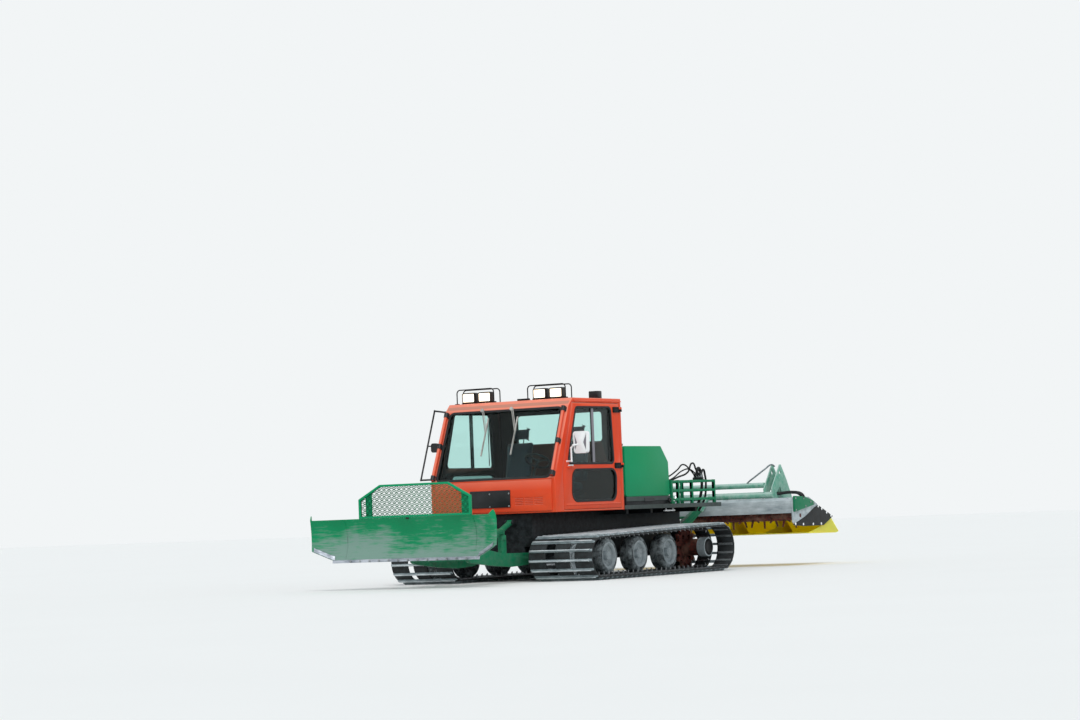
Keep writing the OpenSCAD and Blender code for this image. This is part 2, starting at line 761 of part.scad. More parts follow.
// The toothed drive rings with their hub drums.
module sprockets() {
  color("sienna") both_sides() translate([sprocket_x, sprocket_y, sprocket_z]) rotate([0, 90, 0]) {
    difference() {
      translate([0, 0, -sprocket_w / 2]) linear_extrude(sprocket_w) polygon(sprocket_outline);
      for (i = [0:5]) rotate([0, 0, i * 60 + 30]) translate([165, 0, -sprocket_w]) cylinder(r = 36, h = 2 * sprocket_w);
    }
    translate([0, 0, -sprocket_x + hull_half_w]) cylinder(r = 95, h = sprocket_x - hull_half_w);
    cylinder(r = 120, h = 340);
    translate([0, 0, 340]) cylinder(r = 135, h = 40);
    translate([0, 0, 380]) cylinder(r = 90, h = 16);
  }
}

// Stub axles on rocker arms from the hull to the road wheels.
module axles() {
  color("black") both_sides() for (y = wheel_ys) {
    bar_x(hull_half_w, track_x + 84, y, front_z, axle_r);
    bar_x(hull_half_w, hull_half_w + 90, y + 150, front_z + 40, 48);
    block([hull_half_w + 30, y, front_z - 30], [hull_half_w + 80, y + 150, front_z + 62]);
  }
}

// The push frame and the blade

arm_half_w = 30;
arm_outline = [
  [push_y + 40, push_z - 55], [push_y + 52, push_z + 30], [push_y - 10, push_z + 60], [-2700, 400],
  [-3480, 520], [-3545, 520], [-3545, 330], [-3480, 300], [-2900, 240], [-2500, 215], [push_y - 120, 230]
];
angle_eye_x = 430;
angle_eye_y = -2680;
angle_eye_z = 690;
blade_eye = [950, -3930];
lift_foot = [-3020, 430];
lift_tube = [-3115, 372];
king_z0 = 330;
king_z1 = 720;

module push_frame() {
  color("seagreen") {
    both_sides() {
      difference() {
        side_plate(arm_x - arm_half_w, arm_x + arm_half_w) polygon(arm_outline);
        bar_x(arm_x - 60, arm_x + 60, push_y, push_z, pin_r + pin_gap);
      }
      difference() {
        union() {
          block([angle_eye_x - 30, angle_eye_y - 60, 380], [angle_eye_x + 30, angle_eye_y + 60, angle_eye_z - 50]);
          translate([angle_eye_x, angle_eye_y, angle_eye_z - 110]) cylinder(r = 52, h = 60);
        }
        translate([angle_eye_x, angle_eye_y, angle_eye_z - 111]) cylinder(r = eye_r + pin_gap, h = 100);
      }
    }
    bar_x(-arm_x, arm_x, lift_tube[0], lift_tube[1], 45);
    both_sides() clevis(lift_x, lift_foot, lift_tube, 34, rod_eye_w);
    block([-arm_x, -3545, 330], [arm_x, -3470, 520]);
    difference() {
      union() {
        for (z = [king_z0, king_z1 - 40]) translate([0, 0, z]) {
          translate([0, king_y, 0]) cylinder(r = 90, h = 40);
          block([-90, king_y, 0], [90, -3470, 40]);
        }
        block([-90, -3530, king_z0], [90, -3470, king_z1]);
      }
      translate([0, king_y, king_z0 - 1]) cylinder(r = pin_r + pin_gap, h = king_z1 - king_z0 + 2);
    }
  }
}

blade_mid_z = (blade_z + blade_top_z) / 2;

// Section of the mouldboard: a hollow arc as (y, z), t thick and moved back by d.
module mouldboard_section(t, d, z0, z1) {
  intersection() {
    translate([blade_y - blade_r, blade_mid_z]) difference() {
      circle(r = blade_r + d + t, $fn = 160);
      circle(r = blade_r + d, $fn = 160);
    }
    translate([blade_y - 200, z0]) square([200 + d + t + 1, z1 - z0]);
  }
}

fold_y = blade_y - 50;

fold_lap = 8;

// A half space outboard of the fold between the middle and the left wing, or inboard with side -1,
// drawn past the fold so that the sheets lap there.
module beyond_fold(side) {
  translate([blade_half_w, fold_y, 0]) rotate([0, 0, -wing_angle / 2])
    translate([side > 0 ? -fold_lap : fold_lap - 4000, -1000, 0]) cube([4000, 2000, 2000]);
}

// Bends its children, drawn straight across the machine, at both folds.
module folded() {
  intersection() {
    children();
    beyond_fold(-1);
    mirror([1, 0, 0]) beyond_fold(-1);
  }
  both_sides() intersection() {
    translate([blade_half_w, fold_y, 0]) rotate([0, 0, -wing_angle]) translate([-blade_half_w, -fold_y, 0])
      children();
    beyond_fold(1);
  }
}

// The space under a wing's rising bottom edge, lifted by z.
module wing_cut(z) {
  from = wing_l * 0.4;
  slope = wing_rise / (wing_l - from);
  both_sides() translate([blade_half_w, fold_y, 0]) rotate([0, 0, -wing_angle])
    front_plate(-400, 400) polygon([
      [from - 60, 0], [wing_l + 100, 0], [wing_l + 100, z + wing_rise + 100 * slope],
      [from - 60, z - 60 * slope]
    ]);
}

// Folded sheets are drawn this much taller and then trimmed, so that their edges are one cut.
trim = 20;

// The bent plate with its folded wings and their rising bottom edges.
module mouldboard() {
  w = blade_half_w + wing_l;
  difference() {
    folded() side_plate(-w, w) mouldboard_section(blade_t, 0, blade_z - trim, blade_top_z + trim);
    block([-w, blade_y - 600, blade_z - 100], [w, blade_y + 300, blade_z]);
    block([-w, blade_y - 600, blade_top_z], [w, blade_y + 300, blade_top_z + 100]);
    wing_cut(blade_z);
    both_sides() translate([blade_half_w, fold_y, 0]) rotate([0, 0, -wing_angle])
      block([wing_l, -500, 0], [wing_l + 600, 500, 2000]);
  }
}

blade_back_y = blade_y + 130;
rib_xs = [-900, -560, -220, 220, 560, 900];

// An upright rib behind the mouldboard.
module blade_rib() {
  difference() {
    polygon([
      [blade_y - 60, blade_z + 6], [blade_back_y, blade_z + 60], [blade_back_y, blade_top_z - 120],
      [blade_y - 60, blade_top_z - 8]
    ]);
    translate([blade_y - blade_r, blade_mid_z]) circle(r = blade_r + blade_t / 2, $fn = 160);
  }
}

lug_t = 26;
lug_low_z = angle_eye_z - 60;
lug_high_z = angle_eye_z + 30;

// Two lugs with the pin's ends behind the blade's end, which take an angle cylinder's rod.
module blade_lugs() {
  for (z = [lug_low_z, lug_high_z]) {
    block([rib_xs[5], blade_back_y - 50, z], [blade_eye[0] + 38, blade_eye[1], z + lug_t]);
    translate([blade_eye[0], blade_eye[1], z]) cylinder(r = 45, h = lug_t);
  }
  for (z = [lug_low_z - 10, lug_high_z + lug_t / 2])
    translate([blade_eye[0], blade_eye[1], z]) cylinder(r = eye_r, h = lug_t / 2 + 10);
}

module blade() {
  color("seagreen") {
    mouldboard();
    for (x = rib_xs) side_plate(x - 8, x + 8) blade_rib();
    for (z = [blade_z + 60, blade_top_z - 170])
      block([rib_xs[0], blade_back_y - 60, z], [rib_xs[5], blade_back_y + 10, z + 60]);
    for (z = [king_z0 + 60, king_z1 - 140]) {
      block([-70, blade_back_y - 20, z], [70, king_y - 10, z + 40]);
      translate([0, king_y, z]) cylinder(r = 74, h = 40);
    }
    block([-70, blade_back_y - 60, king_z0 + 60], [70, blade_back_y + 30, king_z1 - 100]);
    translate([0, king_y, king_z0]) cylinder(r = pin_r, h = king_z1 - king_z0);
    both_sides() blade_lugs();
  }
}

edge_h = 40;

// Where the mouldboard's plate ends at the bottom.
edge_y = blade_y - blade_r + sqrt(pow(blade_r, 2) - pow(blade_mid_z - blade_z, 2));

// The wear bar under the mouldboard and the flat part of each wing.
module cutting_edge() {
  w = blade_half_w + wing_l;
  color("gray") difference() {
    folded() side_plate(-w, w) polygon([
      [edge_y - 21, blade_z - edge_h - trim], [edge_y - 3, blade_z - edge_h - trim],
      [edge_y + 18, blade_z + trim], [edge_y + 7, blade_z + trim]
    ]);
    block([-w, blade_y - 600, blade_z - edge_h - 100], [w, blade_y + 300, blade_z - edge_h]);
    block([-w, blade_y - 600, blade_z], [w, blade_y + 300, blade_z + 100]);
    both_sides() translate([blade_half_w, fold_y, 0]) rotate([0, 0, -wing_angle])
      block([wing_l * 0.39, -500, 0], [wing_l + 600, 500, 2000]);
  }
}

guard_mid_z = blade_top_z + 250;
guard_y = blade_y - 74;
mesh_pitch = 110;

guard_bend = 340;

// The frame and mesh that stand on the blade, with an upright plate near each end.
module blade_guard() {
  z0 = blade_top_z + seat_gap;
  w = guard_half_w;
  outer = [
    [-w, z0], [w, z0], [w, guard_mid_z], [w - guard_bend, z0 + guard_h],
    [-w + guard_bend, z0 + guard_h], [-w, guard_mid_z]
  ];
  color("seagreen") translate([guard_x, 0, 0]) {
    front_plate(guard_y - 20, guard_y + 20) difference() {
      polygon(outer);
      polygon(inset(outer, 28));
    }
    intersection() {
      front_plate(guard_y - 4, guard_y + 4) polygon(inset(outer, 20));
      front_plate(guard_y - 5, guard_y + 5) for (i = [-12:12]) {
        translate([i * mesh_pitch, z0 + guard_h / 2]) rotate(62) square([900, 7], center = true);
        translate([i * mesh_pitch, z0 + guard_h / 2]) rotate(-62) square([900, 7], center = true);
      }
    }
    for (x = [[-w + 100, -w + 200], [w - 150, w]]) intersection() {
      front_plate(guard_y + 3, guard_y + 12) polygon(inset(outer, 20));
      block([x[0], guard_y, z0], [x[1], guard_y + 20, z0 + guard_h]);
    }
  }
}

// The cylinders

function at_x(x, p) = [x, p[0], p[1]];

// Eye of a cylinder on a pin across the machine.
module eye_x(p, w, r, hole_r) {
  difference() {
    bar_x(p[0] - w / 2, p[0] + w / 2, p[1], p[2], r);
    bar_x(p[0] - w, p[0] + w, p[1], p[2], hole_r);
  }
}

module cylinder_barrel_x(a, b, l) {
  d = (b - a) / norm(b - a);
  eye_x(a, barrel_eye_w, 36, eye_r + pin_gap);
  difference() {
    rod(a + d * 33, a + d * l, barrel_r);
    rod(a + d * 90, a + d * (l + 1), rod_r + 4);
  }
}

// A rod whose eye carries the middle of its pin, since the linkage is open there.
module cylinder_rod_x(a, b, from) {
  d = (b - a) / norm(b - a);
  half = rod_eye_w / 2;
  pin_half = half + plate_gap - seat_gap;
  bar_x(b[0] - half, b[0] + half, b[1], b[2], 32);
  bar_x(b[0] - pin_half, b[0] + pin_half, b[1], b[2], eye_r);
  rod(a + d * from, b, rod_r);
}

module blade_lift_barrels() {
  color("seagreen") both_sides() cylinder_barrel_x(at_x(lift_x, lift_top), at_x(lift_x, lift_foot), 560);
}

module blade_lift_rods() {
  color("silver") both_sides() cylinder_rod_x(at_x(lift_x, lift_top), at_x(lift_x, lift_foot), 300);
}

// Both eyes of an angle cylinder.
angle_a = [angle_eye_x, angle_eye_y, angle_eye_z];
angle_b = [blade_eye[0], blade_eye[1], angle_eye_z];

module angle_barrel() {
  d = (angle_b - angle_a) / norm(angle_b - angle_a);
  translate([angle_a[0], angle_a[1], angle_a[2] - 48]) cylinder(r = 38, h = 76);
  difference() {
    rod(angle_a + d * 30, angle_a + d * 780, barrel_r);
    rod(angle_a + d * 100, angle_a + d * 781, rod_r + 4);
  }
  translate([angle_a[0], angle_a[1], angle_a[2] - 104]) cylinder(r = eye_r, h = 60);
}

module angle_rod() {
  d = (angle_b - angle_a) / norm(angle_b - angle_a);
  low = lug_low_z + lug_t;
  translate([angle_b[0], angle_b[1], low + run_gap]) cylinder(r = 38, h = lug_high_z - low - 2 * run_gap);
  translate([angle_b[0], angle_b[1], low + seat_gap]) cylinder(r = eye_r, h = lug_high_z - low - 2 * seat_gap);
  rod(angle_a + d * 460, angle_b, rod_r);
}

module angle_barrel_left() { color("seagreen") angle_barrel(); }
module angle_barrel_right() { color("seagreen") mirror([1, 0, 0]) angle_barrel(); }
module angle_rod_left() { color("silver") angle_rod(); }
module angle_rod_right() { color("silver") mirror([1, 0, 0]) angle_rod(); }

// The tiller

pitch_y = 2800;
pitch_z = 880;
rear_foot = [2530, 715];
pitch_foot = [2480, 780];
pitch_top = [2978, 1160];
rear_tube = [2622, 750];
beam_y = 3060;
beam_z = 1053;
beam_r = 48;
upper_z = 1200;
upper_r = 40;

// Two arms on the hull's ears with their cross tube and the cylinders' clevises.
module rear_lift_frame() {
  color("seagreen") {
    both_sides() difference() {
      side_plate(rear_arm_x - 30, rear_arm_x + 30) {
        translate([rear_y, rear_z]) circle(r = 52);
        translate([pitch_y, pitch_z]) circle(r = 52);
        polygon([
          [rear_y + 10, rear_z - 44], [2400, 620], [pitch_y + 24, pitch_z - 38], [pitch_y - 24, pitch_z + 38],
          [2640, 880], [rear_y - 20, rear_z + 40]
        ]);
      }
      bar_x(rear_arm_x - 60, rear_arm_x + 60, rear_y, rear_z, pin_r + pin_gap);
      bar_x(rear_arm_x - 60, rear_arm_x + 60, pitch_y, pitch_z, pin_r + pin_gap);
    }
    bar_x(-rear_arm_x, rear_arm_x, rear_tube[0], rear_tube[1], 36);
    both_sides() clevis(rear_cyl_x, rear_foot, rear_tube, 32, rod_eye_w);
    clevis(0, pitch_foot, rear_tube, 34, barrel_gap - 4);
    bar_x(-barrel_gap / 2 - 10, barrel_gap / 2 + 10, pitch_foot[0], pitch_foot[1], eye_r);
  }
}

module rear_lift_barrels() {
  color("seagreen") both_sides() cylinder_barrel_x(at_x(rear_cyl_x, rear_cyl_top), at_x(rear_cyl_x, rear_foot), 330);
}

module rear_lift_rods() {
  color("silver") both_sides() cylinder_rod_x(at_x(rear_cyl_x, rear_cyl_top), at_x(rear_cyl_x, rear_foot), 180);
}

tower_outline = [
  [3048, tiller_top_z], [3660, tiller_top_z], [3645, 1046], [3508, 1272], [3335, 1500], [3300, 1500], [3011, 1144]
];
carrier_lug = [
  [pitch_y - 45, pitch_z - 20], [pitch_y + 10, pitch_z - 45], [2930, 940], [2945, 985], [3010, 1012],
  [3080, 1020], [3080, 1085], [3030, 1105], [pitch_y - 15, pitch_z + 46]
];

// The lower cross tube, the end towers and the lugs that hang on the lift frame.
module tiller_carrier() {
  color("seagreen") {
    bar_x(-tower_x - 130, tower_x + 130, beam_y, beam_z, beam_r);
    both_sides() {
      for (x = [tower_x - 8, tower_x + 120]) side_plate(x, x + 16) difference() {
        polygon(tower_outline);
        polygon([[3149, 1068], [3342, 1066], [3287, 1170]]);
        translate([3300, 1380]) circle(r = 26);
      }
      block([tower_x, 3090, tiller_top_z], [tower_x + 130, 3600, tiller_top_z + 20]);
      for (x = [rear_arm_x - 62, rear_arm_x + 36]) side_plate(x, x + 26) polygon(carrier_lug);
      bar_x(rear_arm_x - 62, rear_arm_x + 62, pitch_y, pitch_z, pin_r);
      for (x = [700, 1100]) block([x, beam_y - 30, tiller_top_z], [x + 40, beam_y + 60, beam_z]);
    }
  }
}

// The upper cross tube between the towers.
module tiller_top_tube() {
  half = tower_x - 8 - seat_gap;
  color("seagreen") bar_x(-half, half, beam_y, upper_z, upper_r);
}

// The bracket on the upper tube that takes the pitch cylinder's rod.
module pitch_clevis() {
  color("seagreen") difference() {
    clevis(0, pitch_top, [beam_y, upper_z], 34, rod_eye_w);
    bar_x(-rod_eye_w * 2, rod_eye_w * 2, beam_y, upper_z, upper_r + seat_gap);
  }
}

module pitch_barrel() {
  color("seagreen") cylinder_barrel_x(at_x(0, pitch_foot), at_x(0, pitch_top), 360);
}

module pitch_rod() {
  color("silver") cylinder_rod_x(at_x(0, pitch_foot), at_x(0, pitch_top), 200);
}

flap_y = rotor_y + 712;
flap_z = 722;
flap_r = 10;
flap_xs = [-1500, -750, 0, 750, 1500];
hood_outline = [
  [tiller_y, 775], [tiller_y + 12, 775], [tiller_y + 12, 955], [tiller_y + 64, tiller_top_z - 12],
  [rotor_y + 296, tiller_top_z - 12], [rotor_y + 552, 890], [rotor_y + 690, 734], [rotor_y + 700, 740],
  [rotor_y + 560, 900], [rotor_y + 300, tiller_top_z], [tiller_y + 60, tiller_top_z], [tiller_y, 960]
];

// The bent sheet over the rotor, with the lugs of the finisher's hinge on its rear edge.
module tiller_hood() {
  color("lightgray") {
    side_plate(-tiller_half_w, tiller_half_w) polygon(hood_outline);
    for (x = flap_xs) side_plate(x - 10, x + 10) difference() {
      union() {
        translate([flap_y, flap_z]) circle(r = 24);
        polygon([
          [rotor_y + 560, 893], [rotor_y + 695, 737], [flap_y + 20, flap_z + 10], [flap_y - 4, flap_z - 24],
          [rotor_y + 660, 715], [rotor_y + 560, 820]
        ]);
      }
      translate([flap_y, flap_z]) circle(r = flap_r + pin_gap);
    }
  }
}

end_t = 12;
shaft_r = 30;

// The steel end plates with the rotor's bearings.
module tiller_ends() {
  color("lightgray") both_sides() side_plate(tiller_half_w, tiller_half_w + end_t) difference() {
    polygon([
      [tiller_y - 15, 640], [3050, 590], [3330, 590], [3640, 640], [rotor_y + 700, 742],
      [rotor_y + 560, 902], [rotor_y + 300, tiller_top_z + 2], [tiller_y - 15, tiller_top_z + 2]
    ]);
    translate([rotor_y, rotor_z]) circle(r = shaft_r + pin_gap);
  }
}

// The green housings of the rotor's motor and chain on the end plates.
module motor_caps() {
  x = tiller_half_w + end_t;
  color("seagreen") both_sides() side_plate(x, x + 30) translate([rotor_y, rotor_z])
    polygon(rounded([[-228, 55], [452, 155], [390, 213], [98, 280], [-228, 291]], 16, 4));
}

// The black rubber side guards behind the end plates.
module tiller_guards() {
  x = tiller_half_w + end_t;
  color("black") both_sides() side_plate(x, x + 8) translate([rotor_y, rotor_z]) polygon([
    [-269, -135], [100, -159], [754, -159], [1072, -31], [583, 147], [455, 107], [168, -12]
  ]);
}

// The rotor: a tube with rows of pointed teeth on stub shafts in the end plates.
module tiller_rotor() {
  l = tiller_half_w - run_gap;
  color("brown") translate([0, rotor_y, rotor_z]) {
    bar_x(-tiller_half_w - end_t + 1, tiller_half_w + end_t - 1, 0, 0, shaft_r);
    bar_x(-l, l, 0, 0, 70);
    for (i = [0:tooth_rows - 1], k = [0:3])
      rotate([k * 90 + i * 30, 0, 0])
        translate([-l + 60 + i * (2 * l - 120) / (tooth_rows - 1), 0, 0])
          side_plate(-9, 9) polygon([[60, -24], [rotor_r, -6], [rotor_r, 14], [60, 24]]);
  }
}

// Outlines of the finisher's sheet and ribs, from its hinge.
finisher_sheet = [
  [30, 22], [30, 6], [316, -37], [550, -240], [483, -251], [-412, -236], [-412, -252], [488, -267],
  [finisher_tip_y - flap_y, -250], [328, -22]
];
finisher_rib = [[-6, -5], [-12, -162], [-412, -242], [488, -260], [578, -248], [326, -30], [22, 14], [-4, 7]];

// The bent comb that hangs behind the rotor on a hinge bar, with side cheeks and ribs.
module finisher() {
  w = tiller_half_w - run_gap;
  color("gold") {
    side_plate(-w, w) translate([flap_y, flap_z]) polygon(finisher_sheet);
    bar_x(-w, w, flap_y, flap_z, flap_r);
    for (x = [-w, -1125, -375, 363, 1113, w - 12])
      side_plate(x, x + 12) translate([flap_y, flap_z]) polygon(finisher_rib);
  }
}

hull();
deck();
cab_shell();
nose_panel();
nose_grille();
cab_glass();
dashboard();
seats();
engine_block();
engine_box();
roof_lamps();
lamp_guards();
roof_box();
wipers();
mirror_left();
mirror_right();
pillar_tubes();
door_hinges();
deck_rails();
deck_hydraulics();
track_left();
track_right();
tyres_left();
tyres_right();
wheel_rims_left();
wheel_rims_right();
sprockets();
axles();
door_left();
door_glass_left();
door_right();
door_glass_right();
push_frame();
blade_lift_barrels();
blade_lift_rods();
angle_barrel_left();
angle_barrel_right();
angle_rod_left();
angle_rod_right();
blade();
cutting_edge();
blade_guard();
rear_lift_frame();
rear_lift_barrels();
rear_lift_rods();
tiller_carrier();
tiller_top_tube();
pitch_clevis();
pitch_barrel();
pitch_rod();
tiller_hood();
tiller_ends();
motor_caps();
tiller_guards();
tiller_rotor();
finisher();
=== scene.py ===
"""Dresses the packed snow groomer: finishes, seals, fasteners, mesh, hoses, seats and the studio."""

import json
import logging
import math
from collections.abc import Sequence
from dataclasses import dataclass
from enum import Enum

import bmesh
import bpy
from mathutils import Matrix, Vector

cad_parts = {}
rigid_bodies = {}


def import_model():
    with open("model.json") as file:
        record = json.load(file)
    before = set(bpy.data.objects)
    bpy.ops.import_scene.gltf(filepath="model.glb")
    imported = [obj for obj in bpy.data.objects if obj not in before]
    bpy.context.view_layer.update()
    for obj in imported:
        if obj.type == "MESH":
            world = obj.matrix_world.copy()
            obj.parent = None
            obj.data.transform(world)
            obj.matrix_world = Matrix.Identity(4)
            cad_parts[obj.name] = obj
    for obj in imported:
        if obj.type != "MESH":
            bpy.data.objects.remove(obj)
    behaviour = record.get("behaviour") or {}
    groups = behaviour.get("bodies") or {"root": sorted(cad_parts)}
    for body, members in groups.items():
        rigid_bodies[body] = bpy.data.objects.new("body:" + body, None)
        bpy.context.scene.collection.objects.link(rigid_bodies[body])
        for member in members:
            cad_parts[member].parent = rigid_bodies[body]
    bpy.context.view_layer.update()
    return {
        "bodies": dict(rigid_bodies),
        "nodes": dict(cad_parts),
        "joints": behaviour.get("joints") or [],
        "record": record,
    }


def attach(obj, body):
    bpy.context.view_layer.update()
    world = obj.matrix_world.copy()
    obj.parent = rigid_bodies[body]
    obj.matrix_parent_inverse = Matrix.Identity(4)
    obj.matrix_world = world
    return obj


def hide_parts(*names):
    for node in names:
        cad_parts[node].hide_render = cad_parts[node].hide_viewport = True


LOG = logging.getLogger("groomer")

Point2 = tuple[float, float]
Point3 = tuple[float, float, float]


class Side(Enum):
    """The machine's two sides, as the sign of X."""

    LEFT = 1
    RIGHT = -1

    @property
    def label(self) -> str:
        """The side's name inside the names of pieces and bodies."""
        return self.name.lower()

    def span(self, a: float, b: float) -> tuple[float, float]:
        """Gives the low and the high X between two distances from the middle, on this side."""
        return min(self.value * a, self.value * b), max(self.value * a, self.value * b)


class Axis(Enum):
    """The axis along which an outline is drawn out, as its index."""

    X = 0
    Y = 1
    Z = 2


def linear(colour: str) -> tuple[float, float, float, float]:
    """Turns an sRGB hex colour into linear light.

    Args:
        colour: The colour as "#RRGGBB".

    Returns:
        Red, green, blue and an alpha of 1.
    """
    parts = [int(colour[i : i + 2], 16) / 255 for i in (1, 3, 5)]
    light = [c / 12.92 if c <= 0.04045 else ((c + 0.055) / 1.055) ** 2.4 for c in parts]
    return (*light, 1.0)


def add_node(
    tree: bpy.types.NodeTree, kind: str, inputs: dict[str | int, object] | None = None, **settings: object
) -> bpy.types.Node:
    """Adds one shader node with its settings, values and links.

    Args:
        tree: The material's node tree.
        kind: The node's type without its "ShaderNode" prefix.
        inputs: A value or an output socket for each named or numbered input.
        settings: The node's own properties.

    Returns:
        The new node.
    """
    made = tree.nodes.new(f"ShaderNode{kind}")
    for key, value in settings.items():
        setattr(made, key, value)
    for key, value in (inputs or {}).items():
        if isinstance(value, bpy.types.NodeSocket):
            tree.links.new(value, made.inputs[key])
        else:
            made.inputs[key].default_value = value
    return made


@dataclass(frozen=True)
class Finish:
    """A surface finish that becomes one material."""

    name: str

    def material(self) -> bpy.types.Material:
        """Makes the finish's material on first use.

        Returns:
            The material.
        """
        found = bpy.data.materials.get(self.name)
        if found:
            return found
        made = bpy.data.materials.new(self.name)
        made.use_nodes = True
        tree = made.node_tree
        tree.nodes.clear()
        shader = add_node(tree, "BsdfPrincipled")
        add_node(tree, "OutputMaterial", {"Surface": shader.outputs[0]})
        self.shade(tree, shader)
        return made

    def shade(self, tree: bpy.types.NodeTree, shader: bpy.types.Node) -> None:
        """Sets the shader's inputs.

        Args:
            tree: The material's node tree.
            shader: Its Principled BSDF.
        """
        raise NotImplementedError


@dataclass(frozen=True)
class SprayedEnamel(Finish):
    """Two-pack enamel sprayed on steel: orange peel that fades in patches, soils low down and chips."""

    colour: str
    faded: str
    grime: str = "#6B675F"
    grime_top: float = 1.5
    grime_amount: float = 0.5
    chips: float = 0.02
    bare: str = "#4A4744"
    gloss: float = 0.4
    sheen: float = 0.14
    # Paler tone for faces that look up: a painted highlight.
    frost: str = "#F2A48C"
    frosted: float = 0.0

    def coat(self, tree: bpy.types.NodeTree, at: bpy.types.NodeSocket) -> bpy.types.NodeSocket:
        """Gives the paint's own colour, faded in broad patches.

        Args:
            tree: The material's node tree.
            at: The object coordinates.

        Returns:
            The colour.
        """
        broad = add_node(tree, "TexNoise", {"Vector": at, "Scale": 0.9, "Detail": 4.0})
        fade = add_node(tree, "MapRange", {"Value": broad.outputs[0], "From Min": 0.36, "From Max": 0.64})
        return add_node(
            tree, "Mix", {0: fade.outputs[0], 6: linear(self.colour), 7: linear(self.faded)}, data_type="RGBA"
        ).outputs[2]

    def shade(self, tree: bpy.types.NodeTree, shader: bpy.types.Node) -> None:
        """Mixes fade, a painted highlight that pales faces looking up, splashed grime and chips; the last two
        also dull the gloss.

        Args:
            tree: The material's node tree.
            shader: Its Principled BSDF.
        """
        at = add_node(tree, "TexCoord").outputs["Object"]
        tone = self.coat(tree, at)
        # Painted highlight: faces that look up are mixed towards a paler tone, as if lit by the sky.
        if self.frosted:
            up = add_node(tree, "SeparateXYZ", {"Vector": add_node(tree, "TexCoord").outputs["Normal"]})
            level = add_node(tree, "MapRange", {
                "Value": up.outputs["Z"], "From Min": 0.1, "From Max": 0.5, "To Max": self.frosted,
            })
            tone = add_node(
                tree, "Mix", {0: level.outputs[0], 6: tone, 7: linear(self.frost)}, data_type="RGBA"
            ).outputs[2]
        height = add_node(tree, "SeparateXYZ", {"Vector": at}).outputs["Z"]
        splash = add_node(tree, "MapRange", {
            "Value": height, "From Min": 0.2, "From Max": self.grime_top,
            "To Min": self.grime_amount, "To Max": 0.03,
        })
        # Dried splashes about 70 mm across.
        spots = add_node(tree, "TexNoise", {"Vector": at, "Scale": 14.0, "Detail": 9.0, "Roughness": 0.68})
        dirt = add_node(tree, "MapRange", {"Value": spots.outputs[0], "From Min": 0.38, "From Max": 0.66})
        film = add_node(tree, "Math", {0: splash.outputs[0], 1: dirt.outputs[0]}, operation="MULTIPLY")
        soiled = add_node(
            tree, "Mix", {0: film.outputs[0], 6: tone, 7: linear(self.grime)}, data_type="RGBA"
        )
        # Stone chips about 8 mm across, drawn coarser than the real ones so that they show.
        grit = add_node(tree, "TexNoise", {"Vector": at, "Scale": 70.0, "Detail": 6.0, "Roughness": 0.6})
        edge = 0.74 - 4.0 * self.chips
        chip = add_node(tree, "MapRange", {"Value": grit.outputs[0], "From Min": edge, "From Max": edge + 0.03})
        worn = add_node(
            tree, "Mix", {0: chip.outputs[0], 6: soiled.outputs[2], 7: linear(self.bare)}, data_type="RGBA"
        )
        dull = add_node(tree, "Math", {0: film.outputs[0], 1: chip.outputs[0]}, operation="MAXIMUM")
        rough = add_node(tree, "MapRange", {"Value": dull.outputs[0], "To Min": self.gloss, "To Max": 0.75})
        tree.links.new(worn.outputs[2], shader.inputs["Base Color"])
        tree.links.new(rough.outputs[0], shader.inputs["Roughness"])
        shader.inputs["Specular IOR Level"].default_value = self.sheen
        bump = add_node(tree, "Bump", {"Height": grit.outputs[0], "Strength": 0.12, "Distance": 0.001})
        tree.links.new(bump.outputs[0], shader.inputs["Normal"])


@dataclass(frozen=True)
class LinedEnamel(SprayedEnamel):
    """Enamel on the cab's sheet metal, whose inside is lined with dark felt; the dark colour also covers the
    painted door jambs as painted shade.
    """

    felt: str = "#101316"
    # Inner limit of the paint, 19 mm inside the doors' skin, so that the door jambs take the dark colour as
    # painted shade.
    half_w: float = 0.975
    rear_y: float = -0.402
    floor_z: float = 0.9575
    roof_z: float = 2.409
    sill: Point2 = (-2.198, 1.372)
    rake: float = math.atan2(0.418, 0.972)
    screen_edge: float = 0.012
    nose_wall: float = 0.037

    def coat(self, tree: bpy.types.NodeTree, at: bpy.types.NodeSocket) -> bpy.types.NodeSocket:
        """Gives the paint's colour outside and the felt's inside the walls; on the door jambs that dark colour
        is painted shade.

        Args:
            tree: The material's node tree.
            at: The object coordinates.

        Returns:
            The colour.
        """
        x, y, z = add_node(tree, "SeparateXYZ", {"Vector": at}).outputs
        width = add_node(tree, "Math", {0: x}, operation="ABSOLUTE").outputs[0]
        normal = (0.0, math.cos(self.rake), -math.sin(self.rake))
        depth = add_node(tree, "VectorMath", {0: at, 1: normal}, operation="DOT_PRODUCT").outputs["Value"]
        front = self.sill[0] * normal[1] + self.sill[1] * normal[2] + self.screen_edge
        inside = None
        for value, limit, test in (
            (width, self.half_w, "LESS_THAN"), (y, self.rear_y, "LESS_THAN"), (z, self.floor_z, "GREATER_THAN"),
            (z, self.roof_z, "LESS_THAN"), (depth, front, "GREATER_THAN"),
            (y, self.sill[0] + self.nose_wall, "GREATER_THAN"),
        ):
            passed = add_node(tree, "Math", {0: value, 1: limit}, operation=test).outputs[0]
            inside = passed if inside is None else add_node(
                tree, "Math", {0: inside, 1: passed}, operation="MULTIPLY"
            ).outputs[0]
        # Dark felt inside the walls, and painted shade on the door jambs within the mask.
        outer = super().coat(tree, at)
        return add_node(tree, "Mix", {0: inside, 6: outer, 7: linear(self.felt)}, data_type="RGBA").outputs[2]


